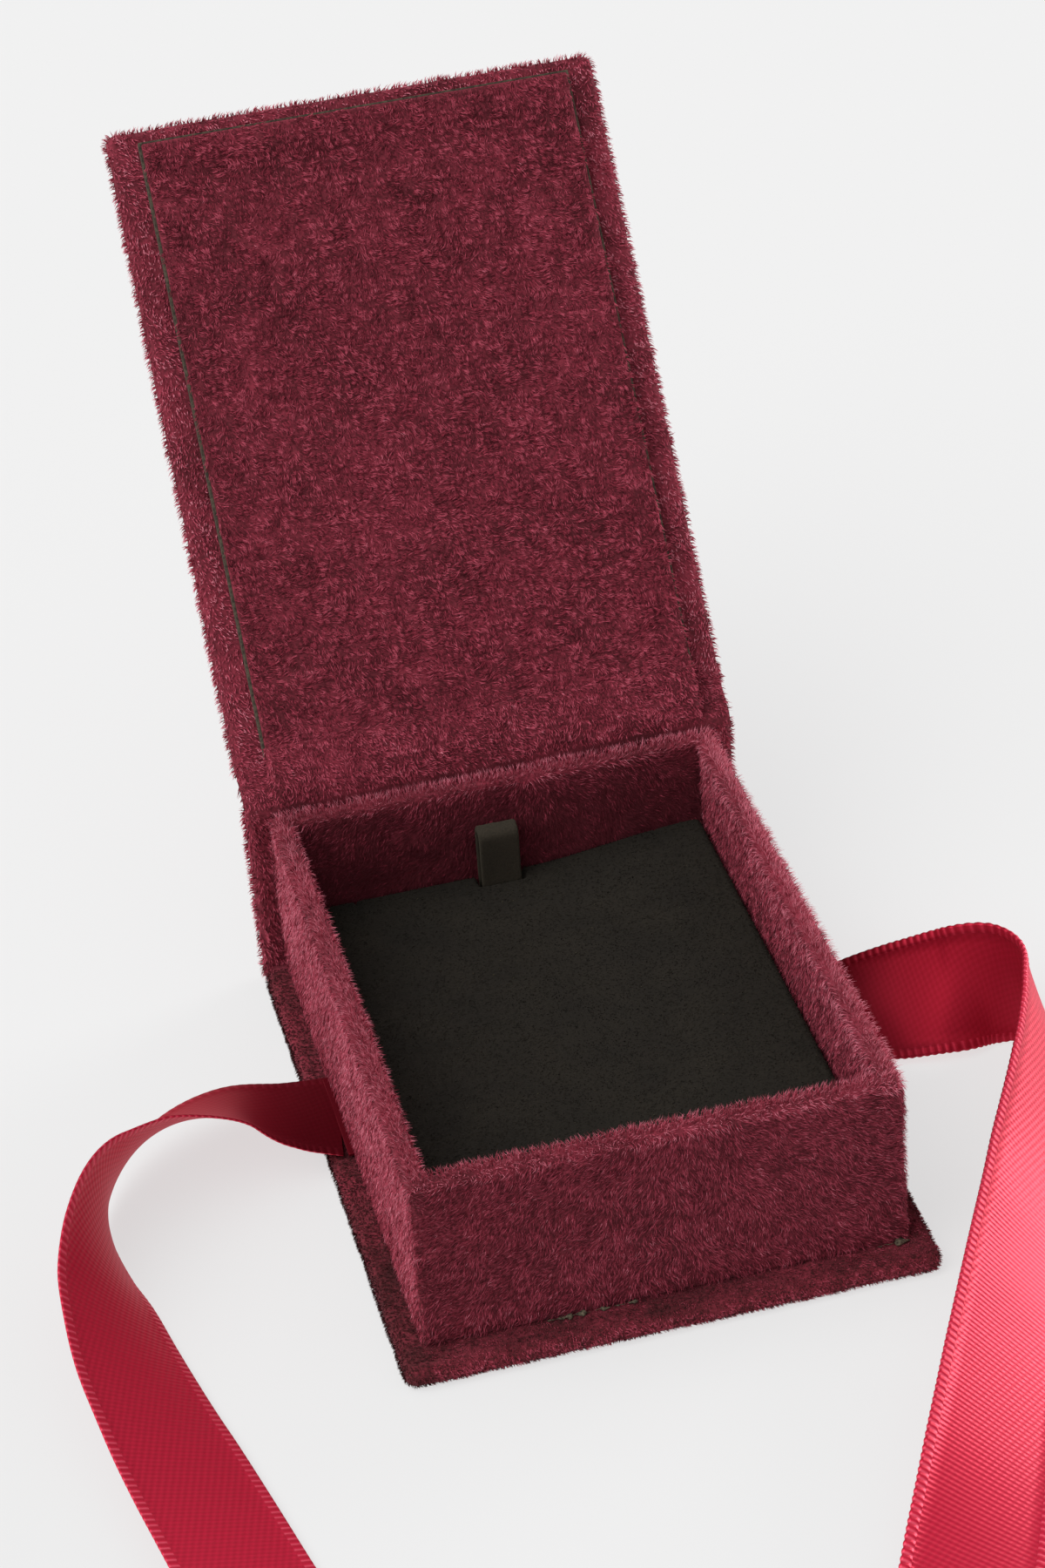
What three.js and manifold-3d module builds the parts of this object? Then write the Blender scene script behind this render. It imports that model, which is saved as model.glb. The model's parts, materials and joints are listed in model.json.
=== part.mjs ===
// A book-style jewelry box: board panels wrapped in plush velvet, an open tray, a folded-back lid,
// a lift-out pad with a pull tab, and a satin tie ribbon held between the tray and the base board.
// Millimetres, +Z up. The origin is the middle of the base's underside, and -Y is the opening side.

import * as THREE from 'three';
import { mergeVertices } from 'three/addons/utils/BufferGeometryUtils.js';
import Module from 'manifold-3d';

const wasm = await Module();
wasm.setup();

// ---- driving dimensions ----
const TRAY_W = 72;                 // across X, outside the velvet
const TRAY_D = 95;                 // along Y, outside the velvet
const TRAY_H = 29;                 // from the base board's velvet to the rim
const WALL = 3.2;                  // a covered tray wall: board with velvet on both faces
const BOARD = 1.9;                 // greyboard in the base, spine and lid
const CLOTH = 0.6;                 // velvet laid on a board
const GLUE_GAP = 0.2;              // room for glue between board and velvet
const PANEL = BOARD + 2 * (CLOTH + GLUE_GAP);
const WALL_CLOTH = 0.5;            // velvet on the tray walls
const WALL_GAP = 0.1;
const CLEAR = 0.3;                 // between neighbouring pieces
const LEDGE_SIDE = 3.8;            // base board beyond the tray, left and right
const LEDGE_FRONT = 4.8;
const CORNER = 1.4;                // plan radius of the covered corners
const TURN_IN = 9;                 // velvet turned over onto a board's inner face

const LINER_CARD = 1.6;            // card of the panel inside the lid
const LINER_CLOTH = 0.7;
const LINER = 2.6;                 // the panel's height above the lid's inner face
const LID_L = 105.5;               // hinge line to the lid's free edge
const LID_LEAN = 52.8;             // degrees between the open lid and +Y
const FOLD_R = 1.4;                // radius of the rolled velvet fold on the hinge line
const LINER_START = 4.2;           // liner panel's ends, measured from the hinge line
const LINER_END = 102.8;
const LINER_W = 69.8;

const PAD_TOP = 16;                // height of the black pad above the table
const PAD_CLOTH = 0.8;
const PAD_CARD = 1.5;
const TAB_W = 6.4;
const TAB_X = -1.2;                // the pull tab stands a little left of the middle
const TAB_T = 3;
const TAB_TOP = 26;
const SLIT_X = 24.6;               // chain slits in the pad, left and right
const SLIT_L = 7;
const SLIT_W = 0.6;

const RIBBON_W = 19;
const RIBBON_T = 0.5;
const RIBBON_Y = 6.2;              // middle of the ribbon where it leaves the box
const RIBBON_Z = 4.1;
const TAIL_L = 230;

// ---- derived places ----
const BASE_TOP = PANEL;
const RIM = BASE_TOP + TRAY_H;
const WALL_FOOT = BASE_TOP + 0.1;
const HALF_W = TRAY_W / 2;
const HALF_D = TRAY_D / 2;
const PANEL_HALF = HALF_W + LEDGE_SIDE;
const BASE_FRONT = -HALF_D - LEDGE_FRONT;
const SPINE_FRONT = HALF_D + CLEAR;
const HINGE_Y = SPINE_FRONT + PANEL - 0.1;
const HINGE_Z = RIM + LINER + CLEAR;
const SPINE_TOP = HINGE_Z - FOLD_R - CLEAR;
const FLOOR_Z = BASE_TOP + 1.1;    // underside of the tray's bottom board, above the ribbon
const FLOOR_T = 2;
const PAD_FOOT = FLOOR_Z + FLOOR_T + 0.1;
const PAD_HALF_W = HALF_W - WALL - 0.4;
const PAD_HALF_D = HALF_D - WALL - 0.4;

// Tail routes: middle of the ribbon, then its bank in degrees about the line it runs along.
// At 0 the face that lies up under the tray is still up; at 90 the ribbon stands on edge;
// at 180 it lies on the table with its glossy face up.
const LEFT_ROUTE = [
  [-36.4, 6.4, 4.1, 0], [-44, 7.5, 5.4, 8], [-52, 8, 8.5, 19], [-59.5, 6.2, 10, 32],
  [-66.2, 2.6, 10.4, 50], [-71.8, -3.2, 10, 71], [-75, -10.4, 9.8, 95], [-76.7, -18.2, 8.8, 115],
  [-77.2, -26, 7.4, 133], [-76.8, -34, 6.1, 143], [-76, -42, 5.1, 151], [-74.7, -50, 4.3, 156],
  [-73.3, -57.6, 3.6, 161], [-71.8, -65.4, 3.1, 164], [-70.3, -73.2, 2.9, 165.5], [-68.8, -81, 2.6, 167],
  [-67.3, -89, 2, 171], [-65.8, -97, 1.3, 175.5], [-64.3, -105, 0.7, 179], [-62.8, -113, 0.5, 180],
  [-61.3, -121, 0.5, 180], [-59.8, -129, 0.5, 180], [-58.3, -137, 0.5, 180], [-56.8, -145, 0.5, 180],
  [-53.8, -161, 0.5, 180], [-50.8, -177, 0.5, 180], [-47.8, -193, 0.5, 180],
];
const RIGHT_ROUTE = [
  [36.4, 6, 4.1, 0], [40.2, 5.6, 4.6, 3], [44, 5, 5, 13], [51.5, 3, 6.1, 32], [58.5, 0.3, 8.2, 46],
  [65.2, -1.9, 9.4, 70], [70, -7.6, 10, 101], [69, -15.5, 9.9, 111.5], [66.2, -23, 9.3, 115],
  [63, -30.2, 8.8, 119], [59.7, -37.4, 8.2, 124.5], [56.3, -44.6, 7.7, 130], [52.9, -51.9, 7.2, 134.5],
  [49.4, -59, 6.7, 138.5], [45.8, -66.2, 6.3, 142], [42.2, -73.3, 5.8, 145], [38.6, -80.4, 5.4, 148],
  [35, -87.6, 5, 151], [31.4, -94.8, 4.5, 155], [27.8, -102, 3.6, 160], [24.2, -109, 2.6, 166],
  [20.6, -116, 1.6, 172], [17, -123, 0.8, 178], [13.4, -130, 0.5, 180], [9.8, -137, 0.5, 180],
  [2.6, -151.3, 0.5, 180], [-4.6, -165.6, 0.5, 180], [-11.8, -179.9, 0.5, 180],
];

// ---- materials ----
const finish = (color, roughness) => new THREE.MeshStandardMaterial({ color, roughness, metalness: 0 });
const velvet = () => finish('#6e2432', 0.95);
const greyboard = () => finish('#8b8378', 0.9);
const blackVelvet = () => finish('#211e1b', 0.95);
const foam = () => finish('#e8e4da', 0.9);
const satin = () => finish('#c22a40', 0.35);

// ---- solids ----
function toSolid(geometry) {
  const bare = geometry.clone();
  bare.deleteAttribute('normal');
  bare.deleteAttribute('uv');
  const merged = mergeVertices(bare, 1e-5);
  return new wasm.Manifold(new wasm.Mesh({
    numProp: 3,
    vertProperties: new Float32Array(merged.attributes.position.array),
    triVerts: new Uint32Array(merged.index.array),
  }));
}

function toGeometry(solid) {
  const mesh = solid.getMesh();
  const geometry = new THREE.BufferGeometry();
  geometry.setAttribute('position', new THREE.BufferAttribute(new Float32Array(mesh.vertProperties), 3));
  geometry.setIndex(new THREE.BufferAttribute(new Uint32Array(mesh.triVerts), 1));
  geometry.computeVertexNormals();
  return geometry;
}

// A box between two corners.
function block([x0, y0, z0], [x1, y1, z1]) {
  const geometry = new THREE.BoxGeometry(x1 - x0, y1 - y0, z1 - z0);
  return geometry.translate((x0 + x1) / 2, (y0 + y1) / 2, (z0 + z1) / 2);
}

function roundedOutline(x0, y0, x1, y1, r) {
  const shape = new THREE.Shape();
  shape.absarc(x1 - r, y1 - r, r, 0, Math.PI / 2);
  shape.absarc(x0 + r, y1 - r, r, Math.PI / 2, Math.PI);
  shape.absarc(x0 + r, y0 + r, r, Math.PI, 1.5 * Math.PI);
  shape.absarc(x1 - r, y0 + r, r, 1.5 * Math.PI, 2 * Math.PI);
  return shape;
}

// A flat slab with rounded corners in plan.
function slab([x0, y0, z0], [x1, y1, z1], r = CORNER) {
  const options = { depth: z1 - z0, bevelEnabled: false, curveSegments: 4 };
  return new THREE.ExtrudeGeometry(roundedOutline(x0, y0, x1, y1, r), options).translate(0, 0, z0);
}

function cut(body, ...tools) {
  const left = tools.reduce((solid, tool) => solid.subtract(toSolid(tool)), toSolid(body));
  return toGeometry(left);
}

function part(name, geometry, material) {
  const mesh = new THREE.Mesh(geometry, material);
  mesh.name = name;
  return mesh;
}

// A panel's velvet skin: a slab hollowed for its board, with a window on the face that is glued down.
function skin([x0, y0, z0], [x1, y1, z1], window) {
  const inset = CLOTH;
  const hollow = block([x0 + inset, y0 + inset, z0 + inset], [x1 - inset, y1 - inset, z1 - inset]);
  return cut(slab([x0, y0, z0], [x1, y1, z1]), hollow, window);
}

function boardIn([x0, y0, z0], [x1, y1, z1]) {
  const inset = CLOTH + GLUE_GAP;
  return block([x0 + inset, y0 + inset, z0 + inset], [x1 - inset, y1 - inset, z1 - inset]);
}

// ---- base ----
function base() {
  const low = [-PANEL_HALF, BASE_FRONT, 0];
  const high = [PANEL_HALF, HALF_D - 0.1, BASE_TOP];
  const window = block(
    [low[0] + TURN_IN, low[1] + TURN_IN, BASE_TOP - 2 * CLOTH],
    [high[0] - TURN_IN, high[1] - TURN_IN, BASE_TOP + 1],
  );
  const group = new THREE.Group();
  group.add(part('base_board', boardIn(low, high), greyboard()));
  group.add(part('base_cover', skin(low, high, window), velvet()));
  return group;
}

// ---- spine: the upright panel glued to the tray's back wall ----
function spine() {
  const low = [-PANEL_HALF, SPINE_FRONT, 0];
  const high = [PANEL_HALF, SPINE_FRONT + PANEL - 0.1, SPINE_TOP];
  const window = block(
    [low[0] + TURN_IN, SPINE_FRONT - 1, TURN_IN],
    [high[0] - TURN_IN, SPINE_FRONT + 2 * CLOTH, SPINE_TOP - TURN_IN],
  );
  const inset = CLOTH;
  const hollow = block(
    [low[0] + inset, low[1] + inset, low[2] + inset],
    [high[0] - inset, high[1] - inset, high[2] - inset],
  );
  const group = new THREE.Group();
  group.add(part('spine_board', boardIn(low, high), greyboard()));
  group.add(part('spine_cover', cut(block(low, high), hollow, window), velvet()));
  return group;
}

// ---- tray ----
function trayWalls() {
  const group = new THREE.Group();
  const inner = { x: HALF_W - WALL, y: HALF_D - WALL };
  const slotLow = RIBBON_Y - RIBBON_W / 2 - CLEAR;
  const slotHigh = RIBBON_Y + RIBBON_W / 2 + CLEAR;
  const slot = block([-HALF_W - 1, slotLow, WALL_FOOT - 1], [HALF_W + 1, slotHigh, FLOOR_Z - 0.1]);
  const sideY = inner.y - 0.1 + WALL;
  const places = {
    front: [[-HALF_W, -HALF_D], [HALF_W, -inner.y]],
    back: [[-HALF_W, inner.y], [HALF_W, HALF_D]],
    left: [[-HALF_W, -sideY + WALL], [-inner.x, sideY - WALL]],
    right: [[inner.x, -sideY + WALL], [HALF_W, sideY - WALL]],
  };
  const c = WALL_CLOTH;
  const g = WALL_CLOTH + WALL_GAP;
  for (const [side, [[x0, y0], [x1, y1]]] of Object.entries(places)) {
    const outer = block([x0, y0, WALL_FOOT], [x1, y1, RIM]);
    const hollow = block([x0 + c, y0 + c, WALL_FOOT - 1], [x1 - c, y1 - c, RIM - c]);
    const board = block([x0 + g, y0 + g, WALL_FOOT], [x1 - g, y1 - g, RIM - g]);
    group.add(part(`tray_board_${side}`, cut(board, slot), greyboard()));
    group.add(part(`tray_cover_${side}`, cut(outer, hollow, slot), velvet()));
  }
  return group;
}

function trayBottom() {
  const x = HALF_W - WALL - 0.2;
  const y = HALF_D - WALL - 0.2;
  return part('tray_bottom', block([-x, -y, FLOOR_Z], [x, y, FLOOR_Z + FLOOR_T]), greyboard());
}

// ---- lift-out pad ----
function tabGeometry(grow = 0) {
  const r = TAB_T / 2 + grow;
  const bore = grow > 0 ? 0 : 0.3;
  const top = TAB_TOP - TAB_T / 2;
  const shape = new THREE.Shape();
  shape.moveTo(r, PAD_FOOT);
  shape.absarc(0, top, r, 0, Math.PI);
  shape.lineTo(-r, PAD_FOOT);
  if (bore > 0) {
    shape.lineTo(-bore, PAD_FOOT);
    shape.absarc(0, top, bore, Math.PI, 0, true);
    shape.lineTo(bore, PAD_FOOT);
  }
  const width = TAB_W + 2 * grow;
  const options = { depth: width, bevelEnabled: false, curveSegments: 6 };
  const geometry = new THREE.ExtrudeGeometry(shape, options);
  geometry.rotateX(Math.PI / 2).rotateZ(Math.PI / 2);
  return geometry.translate(TAB_X - width / 2, PAD_HALF_D - TAB_T / 2, 0);
}

function pad() {
  const notch = block(
    [TAB_X - TAB_W / 2 - CLEAR, PAD_HALF_D - TAB_T - CLEAR, PAD_FOOT - 1],
    [TAB_X + TAB_W / 2 + CLEAR, PAD_HALF_D + 1, PAD_TOP + 1],
  );
  const slits = [-SLIT_X, SLIT_X].map((x) => block(
    [x - SLIT_W / 2, PAD_HALF_D - SLIT_L, PAD_TOP - PAD_CLOTH - 1],
    [x + SLIT_W / 2, PAD_HALF_D + 1, PAD_TOP + 1],
  ));
  const cloth = PAD_CLOTH;
  const inX = PAD_HALF_W - cloth;
  const inY = PAD_HALF_D - cloth;
  const outside = block([-PAD_HALF_W, -PAD_HALF_D, PAD_FOOT], [PAD_HALF_W, PAD_HALF_D, PAD_TOP]);
  const inside = block([-inX, -inY, PAD_FOOT - 1], [inX, inY, PAD_TOP - cloth]);
  const wideNotch = block(
    [TAB_X - TAB_W / 2 - CLEAR - cloth, PAD_HALF_D - TAB_T - CLEAR - cloth, PAD_FOOT - 2],
    [TAB_X + TAB_W / 2 + CLEAR + cloth, PAD_HALF_D + 2, PAD_TOP + 2],
  );
  const hollow = cut(inside, wideNotch);
  const card = block([-inX + 0.1, -inY + 0.1, PAD_FOOT], [inX - 0.1, inY - 0.1, PAD_FOOT + PAD_CARD]);
  const filling = block([-inX + 0.1, -inY + 0.1, PAD_FOOT + PAD_CARD + 0.1], [inX - 0.1, inY - 0.1, PAD_TOP - cloth - 0.1]);
  const group = new THREE.Group();
  group.add(part('pad_card', cut(card, wideNotch), greyboard()));
  group.add(part('pad_foam', cut(filling, wideNotch), foam()));
  group.add(part('pad_cover', cut(outside, hollow, notch, ...slits), blackVelvet()));
  group.add(part('pull_tab', tabGeometry(), blackVelvet()));
  return group;
}

// ---- lid: built lying along its own +Y from the hinge line, inner face at its own z = 0 ----
function lid() {
  const low = [-PANEL_HALF, FOLD_R + CLEAR, -PANEL];
  const high = [PANEL_HALF, LID_L, 0];
  const window = block(
    [low[0] + TURN_IN, low[1] + TURN_IN, -2 * CLOTH],
    [high[0] - TURN_IN, high[1] - TURN_IN, 1],
  );
  const half = LINER_W / 2;
  const cardLow = LINER - LINER_CLOTH - 0.1;
  const card = block([-half, LINER_START, CLEAR - 0.1], [half, LINER_END, cardLow]);
  const face = block([-half, LINER_START, LINER - LINER_CLOTH], [half, LINER_END, LINER]);
  const group = new THREE.Group();
  group.add(part('lid_board', boardIn(low, high), greyboard()));
  group.add(part('lid_cover', skin(low, high, window), velvet()));
  group.add(part('liner_card', card, greyboard()));
  group.add(part('liner_cover', face, velvet()));
  group.position.set(0, HINGE_Y, HINGE_Z);
  group.rotation.x = THREE.MathUtils.degToRad(LID_LEAN);
  return group;
}

// The velvet between spine and lid, rolled into a bead on the hinge line.
function hingeCloth() {
  const bead = new THREE.CylinderGeometry(FOLD_R, FOLD_R, 2 * PANEL_HALF - 2 * CORNER, 16);
  const mesh = part('hinge_cloth', bead.rotateZ(Math.PI / 2), velvet());
  mesh.position.set(0, HINGE_Y, HINGE_Z);
  return mesh;
}

// ---- ribbon ----
function ribbonUnder() {
  const reach = HALF_W - 1.6;
  const low = [-reach, RIBBON_Y - RIBBON_W / 2, RIBBON_Z - RIBBON_T / 2];
  const high = [reach, RIBBON_Y + RIBBON_W / 2, RIBBON_Z + RIBBON_T / 2];
  return part('ribbon_under', block(low, high), satin());
}

// A flat strip bent along a route: each section turns by its bank about the route's direction.
function tail(name, route) {
  const line = new THREE.CatmullRomCurve3(route.map(([x, y, z]) => new THREE.Vector3(x, y, z)), false, 'catmullrom');
  const bank = new THREE.CatmullRomCurve3(route.map((p) => new THREE.Vector3(p[3], 0, 0)), false, 'catmullrom');
  const steps = 3 * (route.length - 1);
  const strip = new THREE.BoxGeometry(RIBBON_W, RIBBON_T, 1, 2, 1, steps);
  const place = strip.attributes.position;
  const end = tailEnd(line);
  for (let i = 0; i < place.count; i += 1) {
    const t = (place.getZ(i) + 0.5) * end;
    const along = line.getTangent(t);
    const level = new THREE.Vector3(0, 0, 1).cross(along).normalize();
    const angle = THREE.MathUtils.degToRad(bank.getPoint(t).x);
    const across = level.applyAxisAngle(along, angle);
    const face = along.clone().cross(across);
    const point = line.getPoint(t);
    point.addScaledVector(across, place.getX(i)).addScaledVector(face, place.getY(i));
    place.setXYZ(i, point.x, point.y, point.z);
  }
  return part(name, toGeometry(toSolid(strip)), satin());
}

// The route's parameter at which the tail has its full length.
function tailEnd(line) {
  const pieces = 400;
  let run = 0;
  let last = line.getPoint(0);
  for (let i = 1; i <= pieces; i += 1) {
    const next = line.getPoint(i / pieces);
    run += next.distanceTo(last);
    last = next;
    if (run >= TAIL_L) return i / pieces;
  }
  return 1;
}

// ---- the whole box ----
const box = new THREE.Group();
box.add(base(), spine(), trayWalls(), trayBottom(), hingeCloth(), lid(), pad());
box.add(ribbonUnder(), tail('ribbon_tail_left', LEFT_ROUTE), tail('ribbon_tail_right', RIGHT_ROUTE));

export default box;
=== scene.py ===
"""Looks of a book-style jewelry box: velvet over board, a lift-out pad and a satin tie ribbon.

Lengths in this file are millimetres until a mesh is made, and metres from there on. The frame is
the part's own: +Z up, -Y the opening side, the origin in the middle of the base's underside.
"""

from __future__ import annotations
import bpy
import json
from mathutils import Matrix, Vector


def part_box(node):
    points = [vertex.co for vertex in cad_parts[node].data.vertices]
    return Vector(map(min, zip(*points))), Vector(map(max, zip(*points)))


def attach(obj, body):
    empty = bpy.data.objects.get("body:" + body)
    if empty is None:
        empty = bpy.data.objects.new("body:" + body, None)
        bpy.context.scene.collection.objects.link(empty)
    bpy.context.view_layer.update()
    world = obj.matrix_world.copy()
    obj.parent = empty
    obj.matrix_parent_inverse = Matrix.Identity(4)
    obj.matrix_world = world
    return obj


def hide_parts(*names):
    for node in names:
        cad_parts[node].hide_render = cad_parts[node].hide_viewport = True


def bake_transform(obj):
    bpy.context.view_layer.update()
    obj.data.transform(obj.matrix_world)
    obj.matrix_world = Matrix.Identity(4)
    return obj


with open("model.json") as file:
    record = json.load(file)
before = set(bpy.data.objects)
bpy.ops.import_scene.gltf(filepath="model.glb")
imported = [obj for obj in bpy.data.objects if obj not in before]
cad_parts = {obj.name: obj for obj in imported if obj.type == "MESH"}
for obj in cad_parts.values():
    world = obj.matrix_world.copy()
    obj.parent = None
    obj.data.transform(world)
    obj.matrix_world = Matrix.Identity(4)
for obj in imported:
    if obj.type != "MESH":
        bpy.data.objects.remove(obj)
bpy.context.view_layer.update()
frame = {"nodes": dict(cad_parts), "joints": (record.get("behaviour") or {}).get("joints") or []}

import json
import logging
import math
from collections.abc import Callable
from dataclasses import dataclass, field
from enum import Enum, IntEnum

import bmesh
import bpy
import numpy as np
from mathutils import Matrix

log = logging.getLogger("jewelry_box")
MM = 0.001
SIDES = ("front", "back", "left", "right")
MERGE_DISTANCE = 0.001 * MM
Array = np.ndarray
Value = float | tuple[float, ...] | bpy.types.NodeSocket


class Seed(IntEnum):
    """Which random pattern each surface or pile takes, so that every run is the same."""

    TRAY_COVER = 5
    TRAY_PILE = 11
    PANEL_COVER = 15
    LINER_COVER = 26
    LID_PILE = 31
    LINER_PILE = 31
    BASE_PILE = 32
    SPINE_PILE = 33
    PAD_COVER = 41
    PAD_FLOCK = 45
    TAB_COVER = 51
    TAB_FLOCK = 55
    HINGE_COVER = 61
    HINGE_GAP = 74
    HINGE_BACK = 75
    HINGE_LINING = 77
    TUFT_SHADE = 77
    FIBRE_SHADE = 78
    FOLD_PILE = 83
    GLUE_SHAPE = 91
    GLUE_SKIN = 95


# ---------------------------------------------------------------- small tools


def linear(code: str) -> tuple[float, float, float, float]:
    """Turns an sRGB hex colour to linear light.

    Args:
        code: six hex digits with a leading hash.
    Returns:
        Red, green, blue and alpha, each 0 to 1.
    """
    parts = [int(code[i : i + 2], 16) / 255 for i in (1, 3, 5)]
    light = [p / 12.92 if p <= 0.04045 else ((p + 0.055) / 1.055) ** 2.4 for p in parts]
    return (light[0], light[1], light[2], 1.0)


def add(tree: bpy.types.NodeTree, kind: str, inputs: dict[str | int, Value] | None = None,
        stops: tuple[tuple[float, str], ...] = (), **settings: str) -> bpy.types.Node:
    """Adds one node to a material, with its settings and links.

    Args:
        tree: the material's node tree.
        kind: the node's type name without the "ShaderNode" in front.
        inputs: input name or number to the output socket that feeds it, or to its value.
        stops: place and colour of each stop, for a colour ramp.
        settings: properties of the node.
    Returns:
        The new node.
    """
    node = tree.nodes.new("ShaderNode" + kind)
    for name, value in settings.items():
        setattr(node, name, value)
    feed(tree, node, inputs or {})
    for number, (place, code) in enumerate(stops):
        marks = node.color_ramp.elements
        mark = marks[number] if number < 2 else marks.new(place)
        mark.position, mark.color = place, linear(code)
    return node


def feed(tree: bpy.types.NodeTree, node: bpy.types.Node, inputs: dict[str | int, Value]) -> None:
    """Sets a node's inputs.

    Args:
        tree: the material's node tree.
        node: the node.
        inputs: input name or number to the output socket that feeds it, or to its value.
    """
    for name, value in inputs.items():
        if isinstance(value, bpy.types.NodeSocket):
            tree.links.new(value, node.inputs[name])
        else:
            node.inputs[name].default_value = value


def smooth(x: Array) -> Array:
    """Eases 0..1 with a flat start and end: 3x^2 - 2x^3, clipped outside."""
    x = np.clip(x, 0, 1)
    return x * x * (3 - 2 * x)


def unit(v: Array) -> Array:
    """Scales each vector to length one."""
    return v / np.maximum(np.linalg.norm(v, axis=-1, keepdims=True), 1e-12)


def lattice(cells: Array, seed: int) -> Array:
    """Gives each whole-number cell its own fixed random value.

    The cell's three indices are multiplied by large primes and mixed by exclusive or, and the low
    bits of the result are the value.

    Args:
        cells: whole numbers, the last axis x, y, z.
        seed: picks one of many patterns.
    Returns:
        One value per cell, 0 to 1.
    """
    c = cells.astype(np.int64)
    h = (c[..., 0] * 73856093) ^ (c[..., 1] * 19349663) ^ (c[..., 2] * 83492791)
    h ^= int(seed) * 2654435761
    h = (h & 0xFFFFFFFF) * 1274126177 & 0xFFFFFFFF
    h = (h ^ (h >> 15)) * 2246822519 & 0xFFFFFFFF
    return ((h ^ (h >> 13)) & 0xFFFFFF) / 0xFFFFFF


def noise(points: Array, size: float, seed: int) -> Array:
    """Smooth random field: lattice values at the corners of cells of one size, eased between them.

    Args:
        points: places, the last axis x, y, z.
        size: the cell's edge, in the points' unit.
        seed: picks one of many patterns.
    Returns:
        One value per point, -1 to 1.
    """
    q = points / size
    low = np.floor(q)
    f = smooth(q - low)
    total = np.zeros(points.shape[:-1])
    for corner in range(8):
        step = np.array([corner & 1, corner >> 1 & 1, corner >> 2 & 1])
        weight = np.prod(np.where(step, f, 1 - f), axis=-1)
        total += weight * lattice(low + step, seed)
    return 2 * total - 1


@dataclass(frozen=True)
class Place:
    """Where a flat-built piece stands: turned about X, then moved. Its own z is its thickness."""

    origin: tuple[float, float, float] = (0.0, 0.0, 0.0)
    turn_deg: float = 0.0

    def matrix(self) -> Array:
        """The turn as a 3 by 3 matrix for row vectors."""
        c, s = math.cos(math.radians(self.turn_deg)), math.sin(math.radians(self.turn_deg))
        return np.array([[1, 0, 0], [0, c, s], [0, -s, c]])

    def out(self, points: Array) -> Array:
        """Own coordinates to the part's."""
        return points @ self.matrix() + np.array(self.origin)

    def back(self, points: Array) -> Array:
        """The part's coordinates to its own."""
        return (points - np.array(self.origin)) @ self.matrix().T


@dataclass
class Sheet:
    """A grid of points over two parameters, which may close on itself in each."""

    points: Array
    closed_u: bool = False
    closed_v: bool = False
    uv: Array | None = None

    def quads(self) -> Array:
        """Finds the grid's faces, wound so that they face along du x dv.

        Returns:
            The corner numbers of each face, one row each.
        """
        nu, nv = self.points.shape[:2]
        u = np.arange(nu if self.closed_u else nu - 1)[:, None]
        v = np.arange(nv if self.closed_v else nv - 1)[None, :]
        u2, v2 = (u + 1) % nu, (v + 1) % nv
        corners = [u * nv + v, u2 * nv + v, u2 * nv + v2, u * nv + v2]
        return np.stack([np.broadcast_to(c, (u.size, v.size)).ravel() for c in corners], axis=1)

    def normals(self) -> Array:
        """Works out the normals, from the cross product of the two central differences.

        Returns:
            One unit vector for each point.
        """
        p = self.points
        du = np.roll(p, -1, 0) - np.roll(p, 1, 0)
        dv = np.roll(p, -1, 1) - np.roll(p, 1, 1)
        if not self.closed_u:
            du[0], du[-1] = p[1] - p[0], p[-1] - p[-2]
        if not self.closed_v:
            dv[:, 0], dv[:, -1] = p[:, 1] - p[:, 0], p[:, -1] - p[:, -2]
        return unit(np.cross(du, dv))

    def moved(self, place: Place) -> "Sheet":
        """The same sheet standing at a place."""
        return Sheet(place.out(self.points), self.closed_u, self.closed_v, self.uv)


def make_object(name: str, points: Array, faces: Array, materials: list[bpy.types.Material],
                slots: Array | None = None, uv: Array | None = None,
                merge: bool = True) -> bpy.types.Object:
    """Puts points and faces into a new mesh object at the origin.

    Args:
        name: the piece's name.
        points: n by 3, millimetres.
        faces: m by 3 or m by 4 corner numbers.
        materials: the mesh's materials, in slot order.
        slots: each face's slot, or None for the first.
        uv: n by 2 coordinates for the piece's UV map, or None.
        merge: joins points that lie on each other, which closes seams and poles.
    Returns:
        The object, linked to the scene.
    """
    mesh = bpy.data.meshes.new(name)
    size = faces.shape[1]
    mesh.vertices.add(len(points))
    mesh.vertices.foreach_set("co", (points * MM).astype(np.float32).ravel())
    mesh.loops.add(faces.size)
    mesh.loops.foreach_set("vertex_index", faces.astype(np.int32).ravel())
    mesh.polygons.add(len(faces))
    mesh.polygons.foreach_set("loop_start", np.arange(0, faces.size, size, dtype=np.int32))
    for material in materials:
        mesh.materials.append(material)
    if slots is not None:
        mesh.polygons.foreach_set("material_index", slots.astype(np.int32))
    mesh.update(calc_edges=True)
    if uv is not None:
        layer = mesh.uv_layers.new(name="surface")
        layer.data.foreach_set("uv", uv[faces.ravel()].astype(np.float32).ravel())
    if merge:
        work = bmesh.new()
        work.from_mesh(mesh)
        bmesh.ops.remove_doubles(work, verts=work.verts, dist=MERGE_DISTANCE)
        work.to_mesh(mesh)
        work.free()
    mesh.polygons.foreach_set("use_smooth", np.ones(len(mesh.polygons), bool))
    mesh.validate()
    item = bpy.data.objects.new(name, mesh)
    bpy.context.scene.collection.objects.link(item)
    return item


def sheet_object(name: str, sheet: Sheet, materials: list[bpy.types.Material],
                 slots: Array | None = None) -> bpy.types.Object:
    """Makes an object of one sheet."""
    uv = None if sheet.uv is None else sheet.uv.reshape(-1, 2)
    return make_object(name, sheet.points.reshape(-1, 3), sheet.quads(), materials, slots, uv)


def lengths(line: Array) -> Array:
    """How far along a line each of its points is."""
    return np.concatenate([[0], np.cumsum(np.linalg.norm(np.diff(line, axis=0), axis=1))])


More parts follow.
